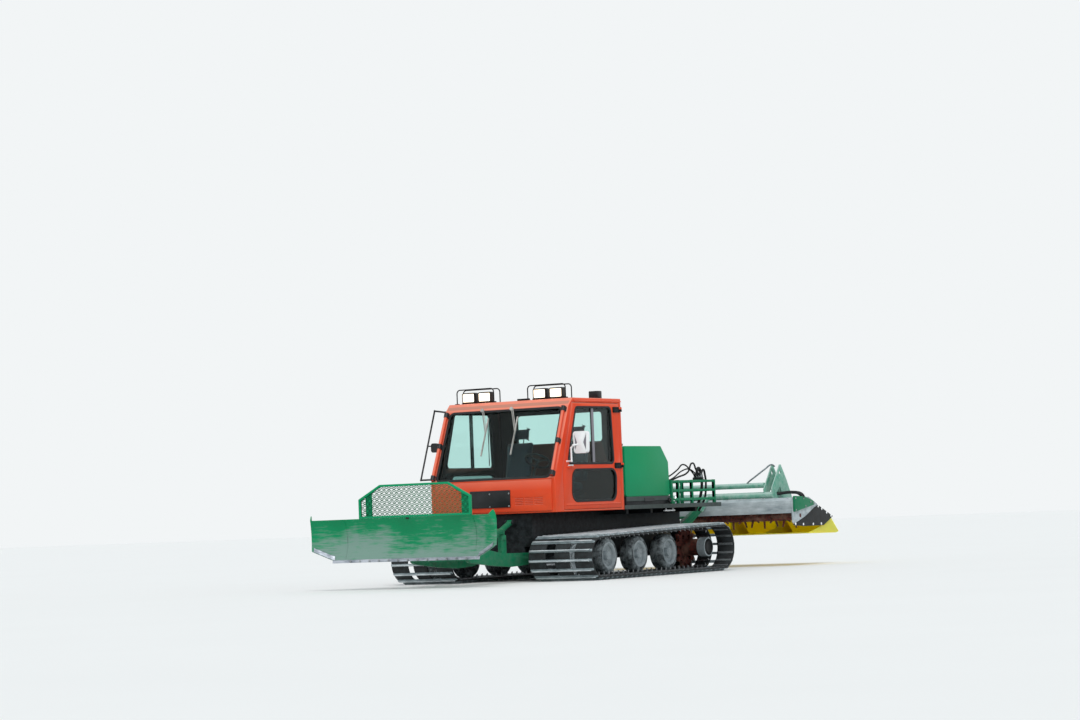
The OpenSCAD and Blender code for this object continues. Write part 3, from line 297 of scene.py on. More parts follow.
@dataclass(frozen=True)
class ScouredEnamel(Finish):
    """Enamel that packed snow and ice have scoured to grey steel in level streaks, most near the bottom."""

    colour: str
    deep: str
    steel: str
    low: float
    high: float
    amount: float = 0.75

    def shade(self, tree: bpy.types.NodeTree, shader: bpy.types.Node) -> None:
        """Mixes paint and bare steel by long level streaks, patches and height.

        Args:
            tree: The material's node tree.
            shader: Its Principled BSDF.
        """
        at = add_node(tree, "TexCoord").outputs["Object"]
        height = add_node(tree, "SeparateXYZ", {"Vector": at}).outputs["Z"]
        # Streaks about 300 mm long and 12 mm tall.
        drawn = add_node(tree, "Mapping", {"Vector": at, "Scale": (3.2, 3.2, 30.0)})
        streak = add_node(tree, "TexNoise", {
            "Vector": drawn.outputs[0], "Scale": 1.6, "Detail": 9.0, "Roughness": 0.62,
        })
        patch = add_node(tree, "TexNoise", {"Vector": at, "Scale": 2.1, "Detail": 5.0})
        both = add_node(tree, "Math", {0: streak.outputs[0], 1: patch.outputs[0]}, operation="ADD")
        rise = add_node(tree, "MapRange", {
            "Value": height, "From Min": self.low, "From Max": self.high, "To Min": 0.36, "To Max": -0.16,
        })
        lean = add_node(tree, "Math", {0: both.outputs[0], 1: rise.outputs[0]}, operation="ADD")
        bare = add_node(tree, "MapRange", {
            "Value": lean.outputs[0], "From Min": 0.94, "From Max": 1.3, "To Max": self.amount,
        })
        paint = add_node(
            tree, "Mix", {0: patch.outputs[0], 6: linear(self.deep), 7: linear(self.colour)}, data_type="RGBA"
        )
        mixed = add_node(
            tree, "Mix", {0: bare.outputs[0], 6: paint.outputs[2], 7: linear(self.steel)}, data_type="RGBA"
        )
        rough = add_node(tree, "MapRange", {"Value": bare.outputs[0], "To Min": 0.34, "To Max": 0.56})
        tree.links.new(mixed.outputs[2], shader.inputs["Base Color"])
        tree.links.new(rough.outputs[0], shader.inputs["Roughness"])
        shader.inputs["Specular IOR Level"].default_value = 0.2
        bump = add_node(tree, "Bump", {"Height": streak.outputs[0], "Strength": 0.25, "Distance": 0.002})
        tree.links.new(bump.outputs[0], shader.inputs["Normal"])


@dataclass(frozen=True)
class WornSteel(Finish):
    """Rolled or galvanised steel, wiped and scratched in use: bright where rubbed, dark in scratches."""

    bright: str
    dark: str
    stretch: Point3 = (1.0, 1.0, 1.0)
    scale: float = 18.0
    contrast: float = 0.12
    metallic: float = 0.7
    gloss: float = 0.36

    def shade(self, tree: bpy.types.NodeTree, shader: bpy.types.Node) -> None:
        """Mixes rubbed and dark steel by drawn-out scuffs and by blotches.

        Args:
            tree: The material's node tree.
            shader: Its Principled BSDF.
        """
        at = add_node(tree, "TexCoord").outputs["Object"]
        drawn = add_node(tree, "Mapping", {"Vector": at, "Scale": self.stretch})
        scuff = add_node(tree, "TexNoise", {
            "Vector": drawn.outputs[0], "Scale": self.scale, "Detail": 10.0, "Roughness": 0.66,
        })
        blotch = add_node(tree, "TexNoise", {"Vector": at, "Scale": 3.0, "Detail": 6.0, "Roughness": 0.6})
        both = add_node(tree, "Mix", {0: 0.4, 2: scuff.outputs[0], 3: blotch.outputs[0]}, data_type="FLOAT")
        wear = add_node(tree, "MapRange", {
            "Value": both.outputs[0], "From Min": 0.5 - self.contrast, "From Max": 0.5 + self.contrast,
        })
        tone = add_node(
            tree, "Mix", {0: wear.outputs[0], 6: linear(self.dark), 7: linear(self.bright)}, data_type="RGBA"
        )
        rough = add_node(tree, "MapRange", {
            "Value": wear.outputs[0], "To Min": self.gloss + 0.3, "To Max": self.gloss,
        })
        tree.links.new(tone.outputs[2], shader.inputs["Base Color"])
        tree.links.new(rough.outputs[0], shader.inputs["Roughness"])
        shader.inputs["Metallic"].default_value = self.metallic
        bump = add_node(tree, "Bump", {"Height": scuff.outputs[0], "Strength": 0.3, "Distance": 0.0015})
        tree.links.new(bump.outputs[0], shader.inputs["Normal"])


@dataclass(frozen=True)
class RustedPaint(Finish):
    """Red oxide paint gone to rust: matt brown scale with dark pits and paler dust."""

    rust: str = "#6E2A1C"
    pit: str = "#2B1512"
    dust: str = "#8C6B5A"

    def shade(self, tree: bpy.types.NodeTree, shader: bpy.types.Node) -> None:
        """Mixes rust, pits and dust by two sizes of blotch.

        Args:
            tree: The material's node tree.
            shader: Its Principled BSDF.
        """
        at = add_node(tree, "TexCoord").outputs["Object"]
        scale = add_node(tree, "TexNoise", {"Vector": at, "Scale": 32.0, "Detail": 8.0, "Roughness": 0.7})
        pits = add_node(tree, "MapRange", {"Value": scale.outputs[0], "From Min": 0.4, "From Max": 0.6})
        tone = add_node(
            tree, "Mix", {0: pits.outputs[0], 6: linear(self.pit), 7: linear(self.rust)}, data_type="RGBA"
        )
        broad = add_node(tree, "TexNoise", {"Vector": at, "Scale": 6.0, "Detail": 5.0})
        dusty = add_node(tree, "MapRange", {
            "Value": broad.outputs[0], "From Min": 0.52, "From Max": 0.72, "To Max": 0.7,
        })
        mixed = add_node(
            tree, "Mix", {0: dusty.outputs[0], 6: tone.outputs[2], 7: linear(self.dust)}, data_type="RGBA"
        )
        tree.links.new(mixed.outputs[2], shader.inputs["Base Color"])
        shader.inputs["Roughness"].default_value = 0.82
        bump = add_node(tree, "Bump", {"Height": scale.outputs[0], "Strength": 0.6, "Distance": 0.002})
        tree.links.new(bump.outputs[0], shader.inputs["Normal"])


@dataclass(frozen=True)
class MouldedRubber(Finish):
    """Vulcanised black rubber: matt, greyed by road dust that clings in patches."""

    colour: str
    dust: str
    dusty: float = 0.4
    grain: float = 60.0

    def shade(self, tree: bpy.types.NodeTree, shader: bpy.types.Node) -> None:
        """Mixes black rubber and pale dust over a fine grain.

        Args:
            tree: The material's node tree.
            shader: Its Principled BSDF.
        """
        at = add_node(tree, "TexCoord").outputs["Object"]
        cling = add_node(tree, "TexNoise", {"Vector": at, "Scale": 11.0, "Detail": 9.0, "Roughness": 0.7})
        dusted = add_node(tree, "MapRange", {
            "Value": cling.outputs[0], "From Min": 0.4, "From Max": 0.66, "To Max": self.dusty,
        })
        tone = add_node(
            tree, "Mix", {0: dusted.outputs[0], 6: linear(self.colour), 7: linear(self.dust)}, data_type="RGBA"
        )
        grain = add_node(tree, "TexNoise", {"Vector": at, "Scale": self.grain, "Detail": 4.0})
        tree.links.new(tone.outputs[2], shader.inputs["Base Color"])
        shader.inputs["Roughness"].default_value = 0.78
        bump = add_node(tree, "Bump", {"Height": grain.outputs[0], "Strength": 0.35, "Distance": 0.001})
        tree.links.new(bump.outputs[0], shader.inputs["Normal"])


@dataclass(frozen=True)
class MouldedPlastic(Finish):
    """Injection moulded plastic: an even colour with a fine spark texture, slightly soiled."""

    colour: str
    soiled: str
    gloss: float = 0.42
    ribs: float = 0.0
    depth: float = 0.0

    def shade(self, tree: bpy.types.NodeTree, shader: bpy.types.Node) -> None:
        """Mixes in soiling, with a fine grain or lengthwise ribs in the bump.

        Args:
            tree: The material's node tree.
            shader: Its Principled BSDF.
        """
        at = add_node(tree, "TexCoord").outputs["Object"]
        broad = add_node(tree, "TexNoise", {"Vector": at, "Scale": 4.0, "Detail": 8.0, "Roughness": 0.65})
        soil = add_node(tree, "MapRange", {
            "Value": broad.outputs[0], "From Min": 0.42, "From Max": 0.75, "To Max": 0.6,
        })
        tone = add_node(
            tree, "Mix", {0: soil.outputs[0], 6: linear(self.colour), 7: linear(self.soiled)}, data_type="RGBA"
        )
        tree.links.new(tone.outputs[2], shader.inputs["Base Color"])
        shader.inputs["Roughness"].default_value = self.gloss
        shader.inputs["Specular IOR Level"].default_value = 0.35
        shader.inputs["Subsurface Weight"].default_value = self.depth
        shader.inputs["Subsurface Scale"].default_value = 0.08
        shader.inputs["Subsurface Radius"].default_value = (1.0, 0.8, 0.25)
        if self.ribs:
            # One rib every 22 mm across the machine.
            height = add_node(
                tree, "TexWave", {"Vector": at, "Scale": self.ribs}, wave_type="BANDS", bands_direction="X"
            ).outputs[0]
        else:
            # Spark erosion grain of about 2 mm.
            height = add_node(tree, "TexNoise", {"Vector": at, "Scale": 450.0, "Detail": 2.0}).outputs[0]
        bump = add_node(tree, "Bump", {"Height": height, "Strength": 0.25, "Distance": 0.002})
        tree.links.new(bump.outputs[0], shader.inputs["Normal"])


@dataclass(frozen=True)
class ToughenedGlass(Finish):
    """Green-tinted toughened glass, darker in the doors' low panes, with a light film of dried spray."""

    tint: str = "#DCF4F0"
    # The doors' low panes are drawn darker than the other panes.
    low_tint: str = "#7F9E9B"
    low_top: float = 1.52
    door_x: float = 0.945

    def shade(self, tree: bpy.types.NodeTree, shader: bpy.types.Node) -> None:
        """Sets clear tinted glass whose film of spray roughens it in patches.

        Args:
            tree: The material's node tree.
            shader: Its Principled BSDF.
        """
        at = add_node(tree, "TexCoord").outputs["Object"]
        spray = add_node(tree, "TexNoise", {"Vector": at, "Scale": 5.0, "Detail": 9.0, "Roughness": 0.7})
        film = add_node(tree, "MapRange", {
            "Value": spray.outputs[0], "From Min": 0.45, "From Max": 0.8, "To Min": 0.01, "To Max": 0.12,
        })
        x, _, z = add_node(tree, "SeparateXYZ", {"Vector": at}).outputs
        across = add_node(tree, "Math", {0: x}, operation="ABSOLUTE")
        outer = add_node(tree, "Math", {0: across.outputs[0], 1: self.door_x}, operation="GREATER_THAN")
        low = add_node(tree, "Math", {0: z, 1: self.low_top}, operation="LESS_THAN")
        both = add_node(tree, "Math", {0: outer.outputs[0], 1: low.outputs[0]}, operation="MULTIPLY")
        tint = add_node(
            tree, "Mix", {0: both.outputs[0], 6: linear(self.tint), 7: linear(self.low_tint)}, data_type="RGBA"
        )
        tree.links.new(tint.outputs[2], shader.inputs["Base Color"])
        shader.inputs["Transmission Weight"].default_value = 1.0
        shader.inputs["IOR"].default_value = 1.2
        tree.links.new(film.outputs[0], shader.inputs["Roughness"])


@dataclass(frozen=True)
class HardChrome(Finish):
    """Hard chrome on a ground cylinder rod: a bright mirror with a thin oil film."""

    colour: str = "#D4D7D9"

    def shade(self, tree: bpy.types.NodeTree, shader: bpy.types.Node) -> None:
        """Sets polished metal whose oil film varies its roughness.

        Args:
            tree: The material's node tree.
            shader: Its Principled BSDF.
        """
        at = add_node(tree, "TexCoord").outputs["Object"]
        oil = add_node(tree, "TexNoise", {"Vector": at, "Scale": 20.0, "Detail": 5.0})
        film = add_node(tree, "MapRange", {"Value": oil.outputs[0], "To Min": 0.06, "To Max": 0.26})
        shader.inputs["Base Color"].default_value = linear(self.colour)
        shader.inputs["Metallic"].default_value = 1.0
        tree.links.new(film.outputs[0], shader.inputs["Roughness"])


@dataclass(frozen=True)
class LitLens(Finish):
    """A pressed glass lamp lens with the lamp on behind it: warm white, brightest in mid-flute."""

    colour: str = "#FFE6C2"
    strength: float = 1.9
    pane: str = "#FFF6E6"

    def shade(self, tree: bpy.types.NodeTree, shader: bpy.types.Node) -> None:
        """Sets glowing glass with upright flutes 14 mm apart.

        Args:
            tree: The material's node tree.
            shader: Its Principled BSDF.
        """
        at = add_node(tree, "TexCoord").outputs["Object"]
        flutes = add_node(
            tree, "TexWave", {"Vector": at, "Scale": 22.0, "Detail": 0.0}, wave_type="BANDS",
            bands_direction="X",
        )
        glow = add_node(tree, "MapRange", {
            "Value": flutes.outputs[0], "To Min": 0.8 * self.strength, "To Max": 1.2 * self.strength,
        })
        shader.inputs["Base Color"].default_value = linear(self.pane)
        shader.inputs["Emission Color"].default_value = linear(self.colour)
        tree.links.new(glow.outputs[0], shader.inputs["Emission Strength"])
        shader.inputs["Roughness"].default_value = 0.15
        bump = add_node(tree, "Bump", {"Height": flutes.outputs[0], "Strength": 0.5, "Distance": 0.003})
        tree.links.new(bump.outputs[0], shader.inputs["Normal"])


@dataclass(frozen=True)
class WovenCloth(Finish):
    """Seat cloth: a plain weave of coarse threads, drawn at 6 mm so that it shows, worn paler on top."""

    thread: str = "#2E3A46"
    worn: str = "#55636F"

    def shade(self, tree: bpy.types.NodeTree, shader: bpy.types.Node) -> None:
        """Sets crossed threads in colour and bump with a soft sheen.

        Args:
            tree: The material's node tree.
            shader: Its Principled BSDF.
        """
        at = add_node(tree, "TexCoord").outputs["Object"]
        threads = {"Vector": at, "Scale": 52.0, "Distortion": 0.4}
        warp, weft = (
            add_node(tree, "TexWave", threads, wave_type="BANDS", bands_direction=axis).outputs[1]
            for axis in "XZ"
        )
        weave = add_node(tree, "Math", {0: warp, 1: weft}, operation="MULTIPLY")
        rub = add_node(tree, "TexNoise", {"Vector": at, "Scale": 7.0, "Detail": 5.0})
        shade = add_node(tree, "Math", {0: weave.outputs[0], 1: rub.outputs[0]}, operation="MULTIPLY")
        tone = add_node(
            tree, "Mix", {0: shade.outputs[0], 6: linear(self.thread), 7: linear(self.worn)}, data_type="RGBA"
        )
        tree.links.new(tone.outputs[2], shader.inputs["Base Color"])
        shader.inputs["Roughness"].default_value = 0.9
        shader.inputs["Sheen Weight"].default_value = 0.35
        bump = add_node(tree, "Bump", {"Height": weave.outputs[0], "Strength": 0.6, "Distance": 0.001})
        tree.links.new(bump.outputs[0], shader.inputs["Normal"])


@dataclass(frozen=True)
class PlainCard(Finish):
    """Seamless studio card for the floor, which keeps the machine's shadow."""

    colour: str = "#EEEEEC"
    mottle: str = "#EBEBE9"

    def shade(self, tree: bpy.types.NodeTree, shader: bpy.types.Node) -> None:
        """Sets a matt card with a faint mottle.

        Args:
            tree: The material's node tree.
            shader: Its Principled BSDF.
        """
        at = add_node(tree, "TexCoord").outputs["Object"]
        broad = add_node(tree, "TexNoise", {"Vector": at, "Scale": 0.4, "Detail": 3.0})
        tone = add_node(
            tree, "Mix", {0: broad.outputs[0], 6: linear(self.colour), 7: linear(self.mottle)}, data_type="RGBA"
        )
        tree.links.new(tone.outputs[2], shader.inputs["Base Color"])
        shader.inputs["Roughness"].default_value = 0.9


# The cab's paint is paler on faces that look up, a painted highlight.
ORANGE = LinedEnamel(
    "orange_cab_enamel", "#DA411F", "#E2502C", grime_top=1.35, grime_amount=0.3, chips=0.006, frosted=0.6
)
GREEN = SprayedEnamel(
    "green_box_enamel", "#008A56", "#039160", grime="#4C6B60", grime_top=1.3, grime_amount=0.3, chips=0.004
)
FRAME_GREEN = SprayedEnamel(
    "green_frame_enamel", "#006B45", "#0B7A52", grime="#6E8078", grime_top=1.6, grime_amount=0.35, chips=0.02
)
MESH_GREEN = SprayedEnamel(
    "green_mesh_enamel", "#00583A", "#006944", grime="#5F746B", grime_top=1.0, grime_amount=0.2, chips=0.004
)
# Paler on faces that look up, a painted highlight.
PALE_GREEN = SprayedEnamel(
    "weathered_green_enamel", "#3F8F74", "#7DB5A2", grime="#BCCBC4", grime_top=2.6, grime_amount=0.8,
    chips=0.02, gloss=0.5, frost="#B9CCC6", frosted=0.6,
)
BLADE_GREEN = ScouredEnamel("scoured_blade_enamel", "#009A62", "#00754A", "#7F948E", 0.42, 0.9, 0.85)
BLACK = SprayedEnamel(
    "black_chassis_enamel", "#0E1012", "#15181A", grime="#565D61", grime_top=1.2, grime_amount=0.5,
    chips=0.02, gloss=0.45,
)
BAND_GREY = SprayedEnamel(
    "grey_sill_enamel", "#39423F", "#444E4B", grime="#6C7276", grime_top=1.3, grime_amount=0.5, chips=0.02,
    gloss=0.5,
)
BLACK_PLASTIC = MouldedPlastic("black_moulded_plastic", "#121416", "#2E3235")
# Grey plastic; on the white mirror's hollows it is painted shade.
GREY_PLASTIC_AND_SHADE = MouldedPlastic("grey_moulded_plastic", "#77747C", "#8E8B92")
WHITE_PLASTIC = MouldedPlastic("white_moulded_plastic", "#F1F2F2", "#D2D6D8", gloss=0.3)
LAMP_SHELL = MouldedPlastic("lamp_shell_plastic", "#22201E", "#4A4643")
YELLOW_PLASTIC = MouldedPlastic("yellow_polyethylene", "#FFDA3C", "#FBCB5A", gloss=0.5, ribs=14.0, depth=0.95)
GLASS = ToughenedGlass("green_toughened_glass")
MIRROR = HardChrome("silvered_mirror_glass")
CHROME = HardChrome("hard_chrome_rod")
EDGE_STEEL = WornSteel("scuffed_wear_steel", "#BDC2CB", "#7E858F", stretch=(0.3, 1.0, 2.0), metallic=0.6)
HOOD_STEEL = WornSteel(
    "scuffed_hood_steel", "#C9D2D5", "#7F8B90", stretch=(0.35, 1.0, 1.6), scale=9.0, contrast=0.16,
    metallic=0.3, gloss=0.45,
)
BAR_STEEL = WornSteel(
    "rubbed_bar_steel", "#AAB8BC", "#5E6A6F", stretch=(0.5, 2.0, 2.0), scale=24.0, contrast=0.14, metallic=0.2
)
# Painted highlight: the wiper arms, black paint in the record, are drawn pale grey.
WIPER_HIGHLIGHT = WornSteel("pale_wiper_steel", "#C6C4BE", "#86847F", scale=60.0, metallic=0.2)
# Rubbed steel on the bars' top edges, brightened beyond wear as a painted highlight.
BAR_EDGE_AND_HIGHLIGHT = WornSteel("bright_bar_edge_steel", "#E4EAEC", "#98A2A6", stretch=(0.4, 2.0, 2.0), metallic=0.2)
BOLT_STEEL = WornSteel("zinc_bolt_steel", "#B9BDC0", "#6E7376", scale=60.0, metallic=0.85, gloss=0.3)
CAST_IRON = WornSteel("cast_engine_iron", "#55585A", "#2A2C2E", scale=40.0, metallic=0.3, gloss=0.6)
PIPE_STEEL = WornSteel("grey_pipe_steel", "#8F989B", "#5B6468", scale=30.0, metallic=0.6, gloss=0.35)
RUST = RustedPaint("rusted_oxide_paint")
RUBBER = MouldedRubber("black_seal_rubber", "#131516", "#4B5154", dusty=0.18)
TYRE_RUBBER = MouldedRubber("dusty_tyre_rubber", "#2F3538", "#A6B1B4", dusty=0.85)
BELT_RUBBER = MouldedRubber("dusty_belt_rubber", "#0B0E0F", "#3A4448", dusty=0.4)
HOSE_RUBBER = MouldedRubber("black_hose_rubber", "#101213", "#3C4144", dusty=0.25, grain=160.0)
RIM_PAINT = SprayedEnamel(
    "grey_rim_enamel", "#8C979C", "#A6B0B4", grime="#BCC4C6", grime_top=1.4, grime_amount=0.8, chips=0.03,
    gloss=0.5,
)
CLOTH = WovenCloth("blue_grey_seat_cloth")
LENS = LitLens("lit_lamp_lens")
CARD = PlainCard("pale_floor_card")


def inset(outline: Sequence[Point2], width: float) -> list[Point2]:
    """Moves every side of an outline inwards.

    Args:
        outline: The corners, anticlockwise.
        width: The distance, outwards where it is negative.

    Returns:
        The new corners.
    """
    lines = []
    for i, corner in enumerate(outline):
        a = Vector(corner)
        d = (Vector(outline[(i + 1) % len(outline)]) - a).normalized()
        normal = Vector((-d.y, d.x))
        lines.append((normal, normal.dot(a) + width))
    corners = []
    for i, (n, q) in enumerate(lines):
        m, p = lines[i - 1]
        det = m.x * n.y - m.y * n.x
        corners.append(((p * n.y - q * m.y) / det, (q * m.x - p * n.x) / det))
    return corners


def rounded(outline: Sequence[Point2], radius: float, steps: int = 6) -> list[Point2]:
    """Rounds the corners of an outline.

    Args:
        outline: The corners.
        radius: The corner radius.
        steps: How many pieces each arc has.

    Returns:
        The outline with an arc at each corner.
    """
    made: list[Point2] = []
    for i, corner in enumerate(outline):
        b = Vector(corner)
        u = (Vector(outline[i - 1]) - b).normalized()
        v = (Vector(outline[(i + 1) % len(outline)]) - b).normalized()
        half = u.angle(v) / 2
        centre = b + (u + v).normalized() * radius / math.sin(half)
        start, end = (b + way * radius / math.tan(half) - centre for way in (u, v))
        turn = start.angle_signed(end)
        for k in range(steps + 1):
            point = start.copy()
            point.rotate(Matrix.Rotation(-turn * k / steps, 2))
            made.append(tuple(centre + point))
    return made


def lift(point: Point2, axis: Axis, along: float) -> Vector:
    """Places a point of a side outline (Y, Z), a front outline (X, Z) or a plan outline (X, Y) in space.

    Args:
        point: The point.
        axis: The axis that its outline stands across.
        along: Its place on that axis.

    Returns:
        The point in space.
    """
    u, v = point
    return Vector({Axis.X: (along, u, v), Axis.Y: (u, along, v), Axis.Z: (u, v, along)}[axis])


def soften(form: bmesh.types.BMesh, width: float, segments: int = 2, sharp: float = 28.0) -> None:
    """Bevels a form's sharp edges.

    Args:
        form: The form.
        width: The bevel's width in metres.
        segments: How many faces round the edge.
        sharp: The least angle of an edge that is bevelled, in degrees.
    """
    hard = [e for e in form.edges if len(e.link_faces) == 2 and e.calc_face_angle(0.0) > math.radians(sharp)]
    bmesh.ops.bevel(
        form, geom=hard, offset=width, offset_type="OFFSET", segments=segments, profile=0.5, affect="EDGES",
        material=-1, clamp_overlap=False,
    )


MACHINE = "machine"
TILLER = "tiller"
OWN_BODY = ""


def rect(x0: float, z0: float, x1: float, z1: float) -> list[Point2]:
    """Gives a rectangle's corners, anticlockwise."""
    return [(x0, z0), (x1, z0), (x1, z1), (x0, z1)]


def placed(name: str, data: bpy.types.ID) -> bpy.types.Object:
    """Puts a mesh, camera or light into the scene.

    Args:
        name: The object's name.
        data: The mesh, camera or light.

    Returns:
        The new object.
    """
    made = bpy.data.objects.new(name, data)
    bpy.context.scene.collection.objects.link(made)
    return made


class Piece:
    """One piece while it is modelled, from its first vertex to the dressed object."""

    def __init__(self, name: str) -> None:
        """Starts an empty piece of that name."""
        self.name = name
        self.work = bmesh.new()

    def take(self, form: bmesh.types.BMesh, place: Matrix | None = None) -> None:
        """Moves a finished form into the piece.

        Args:
            form: The form, which is freed.
            place: A transform applied first.
        """
        if place:
            bmesh.ops.transform(form, matrix=place, verts=form.verts)
        mesh = bpy.data.meshes.new(self.name)
        form.to_mesh(mesh)
        form.free()
        self.work.from_mesh(mesh)
        bpy.data.meshes.remove(mesh)

    def block(self, low: Point3, high: Point3, edge: float, place: Matrix | None = None) -> None:
        """Adds a box.

        Args:
            low: Its lowest corner.
            high: Its highest corner.
            edge: The width of its softened edges.
            place: A transform applied last.
        """
        form = bmesh.new()
        a, b = Vector(low), Vector(high)
        bmesh.ops.create_cube(form, size=1.0)
        bmesh.ops.scale(form, vec=b - a, verts=form.verts)
        bmesh.ops.translate(form, vec=(a + b) / 2, verts=form.verts)
        if edge:
            soften(form, edge, segments=1)
        self.take(form, place)

    def prism(
        self, outline: Sequence[Point2], axis: Axis, low: float, high: float, edge: float = 0.0,
        place: Matrix | None = None, hole: Sequence[Point2] = (),
    ) -> None:
        """Draws an outline out along an axis.

        Args:
            outline: Its corners in the other two axes.
            axis: The axis that it is drawn along.
            low: Where it starts.
            high: Where it ends.
            edge: The width of its softened edges.
            place: A transform applied last.
            hole: The corners of a hole through it, as many as the outline has.
        """
        form = bmesh.new()
        if hole:
            edges = []
            for ring in (outline, hole):
                verts = [form.verts.new(lift(p, axis, low)) for p in ring]
                edges += [form.edges.new((verts[i - 1], verts[i])) for i in range(len(verts))]
            faces = bmesh.ops.bridge_loops(form, edges=edges)["faces"]
        else:
            faces = [form.faces.new([form.verts.new(lift(p, axis, low)) for p in outline])]
        out = bmesh.ops.extrude_face_region(form, geom=faces)["geom"]
        moved = [v for v in out if isinstance(v, bmesh.types.BMVert)]
        bmesh.ops.translate(form, vec=lift((0.0, 0.0), axis, high - low), verts=moved)
        if edge:
            soften(form, edge)
        self.take(form, place)

    def loft(self, rings: Sequence[Sequence[Point3]], place: Matrix) -> None:
        """Skins a row of closed sections.

        Args:
            rings: The sections, with as many corners each.
            place: A transform applied last.
        """
        form = bmesh.new()
        made = [[form.verts.new(p) for p in ring] for ring in rings]
        loops = [[form.edges.new((ring[i - 1], ring[i])) for i in range(len(ring))] for ring in made]
        for a, b in zip(loops, loops[1:]):
            bmesh.ops.bridge_loops(form, edges=a + b)
        for end in (made[0], made[-1]):
            form.faces.new(end)
        bmesh.ops.recalc_face_normals(form, faces=form.faces)
        self.take(form, place)

    def lathe(self, profile: Sequence[Point2], centre: Point3, steps: int, place: Matrix | None = None) -> None:
        """Turns a closed profile about an axis along X.

        Args:
            profile: The corners as (place along the axis, radius).
            centre: A point on the axis.
            steps: How many steps make the full turn.
            place: A transform applied before the move to the centre.
        """
        form = bmesh.new()
        ring = [form.verts.new((a, 0.0, r)) for a, r in profile]
        edges = [form.edges.new((ring[i - 1], ring[i])) for i in range(len(ring))]
        bmesh.ops.spin(
            form, geom=ring + edges, cent=(0, 0, 0), axis=(1, 0, 0), angle=math.tau, steps=steps,
            use_merge=True,
        )
        bmesh.ops.remove_doubles(form, verts=form.verts, dist=1e-6)
        here = Matrix.Translation(centre)
        self.take(form, here @ place if place else here)

    def bolt(self, at: Point3, out: Point3, radius: float, height: float) -> None:
        """Adds a hexagon bolt head on its washer.

        Args:
            at: The point on the surface.
            out: The direction that the head faces.
            radius: The head's radius over its corners.
            height: The head's height over the surface.
        """
        turn = Vector((0, 0, 1)).rotation_difference(Vector(out)).to_matrix().to_4x4()
        here = Matrix.Translation(at) @ turn
        washer = height * 0.25
        for sides, low, high, foot, top in ((10, 0.0, washer, 1.35, 1.35), (6, washer, height, 1.0, 0.88)):
            bmesh.ops.create_cone(
                self.work, cap_ends=True, segments=sides, radius1=radius * foot, radius2=radius * top,
                depth=high - low, matrix=here @ Matrix.Translation((0, 0, (low + high) / 2)),
            )

    def hose(self, points: Sequence[Point3], radius: float, sides: int = 3) -> None:
        """Adds a hose or pipe along a smooth curve.

        Args:
            points: The points that it passes.
            radius: Its radius.
            sides: The bevel resolution of its round section.
        """
        data = bpy.data.curves.new(f"{self.name}_path", "CURVE")
        data.dimensions = "3D"
        data.bevel_depth = radius
        data.bevel_resolution = sides
        data.resolution_u = 8
        data.use_fill_caps = True
        spline = data.splines.new("BEZIER")
        spline.bezier_points.add(len(points) - 1)
        for knot, point in zip(spline.bezier_points, points):
            knot.co = point
            knot.handle_left_type = knot.handle_right_type = "AUTO"
        holder = bpy.data.objects.new(f"{self.name}_path", data)
        mesh = bpy.data.meshes.new_from_object(holder)
        self.work.from_mesh(mesh)
        bpy.data.objects.remove(holder)
        bpy.data.curves.remove(data)
        bpy.data.meshes.remove(mesh)

    def stamp(self, mesh: bpy.types.Mesh, place: Matrix) -> None:
        """Adds a copy of a mesh.

        Args:
            mesh: The mesh.
            place: Its transform.
        """
        form = bmesh.new()
        form.from_mesh(mesh)
        self.take(form, place)

    def mesh(self, outward: bool = True) -> bpy.types.Mesh:
        """Ends the piece as a bare mesh.

        Args:
            outward: Whether its faces are turned outwards first.

        Returns:
            The mesh.
        """
        if outward:
            bmesh.ops.recalc_face_normals(self.work, faces=self.work.faces)
        mesh = bpy.data.meshes.new(self.name)
        self.work.to_mesh(mesh)
        self.work.free()
        return mesh

    def done(
        self, finish: Finish, slot: str, body: str = MACHINE, replaces: Sequence[str] = (),
        smooth: float = 35.0, outward: bool = True,
    ) -> bpy.types.Object:
        """Ends the piece: makes its object, dresses it and hangs it on its body.

        Args:
            finish: Its finish.
            slot: The record's material slot, which is not used.
            body: The body that it rides on.
            replaces: The nodes that it stands for.
            smooth: The angle over which edges stay sharp, in degrees.
            outward: Whether its faces are turned outwards first.

        Returns:
            The finished object.
        """
        mesh = self.mesh(outward)
        mesh.materials.append(finish.material())
        for face in mesh.polygons:
            face.use_smooth = True
            face.material_index = 0
        mesh.set_sharp_from_angle(angle=math.radians(smooth))
        made = placed(self.name, mesh)
        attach(made, body)
        if replaces:
            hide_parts(*replaces)
        LOG.info("%s: %d faces on %s", self.name, len(mesh.polygons), body)
        return made


@dataclass(frozen=True)
class Carried:
    """CAD nodes that keep their shape: each with the width of its softened edges, on one body or their own."""

    finish: Finish
    slot: str
    nodes: dict[str, float]
    body: str = MACHINE

    def build(self, frame: dict) -> None:
        """Takes the nodes over with merged faces, softened edges and their finish.

        Args:
            frame: The loaded frame.
        """
        for node, edge in self.nodes.items():
            piece = Piece(f"{node}_dressed")
            work = piece.work
            work.from_mesh(frame["nodes"][node].data)
            bmesh.ops.remove_doubles(work, verts=work.verts, dist=2e-5)
            bmesh.ops.dissolve_limit(
                work, angle_limit=math.radians(0.6), verts=work.verts, edges=work.edges,
                use_dissolve_boundaries=False,
            )
            if edge:
                soften(work, edge)
            piece.done(self.finish, self.slot, self.body or node, (node,), 32.0, outward=False)


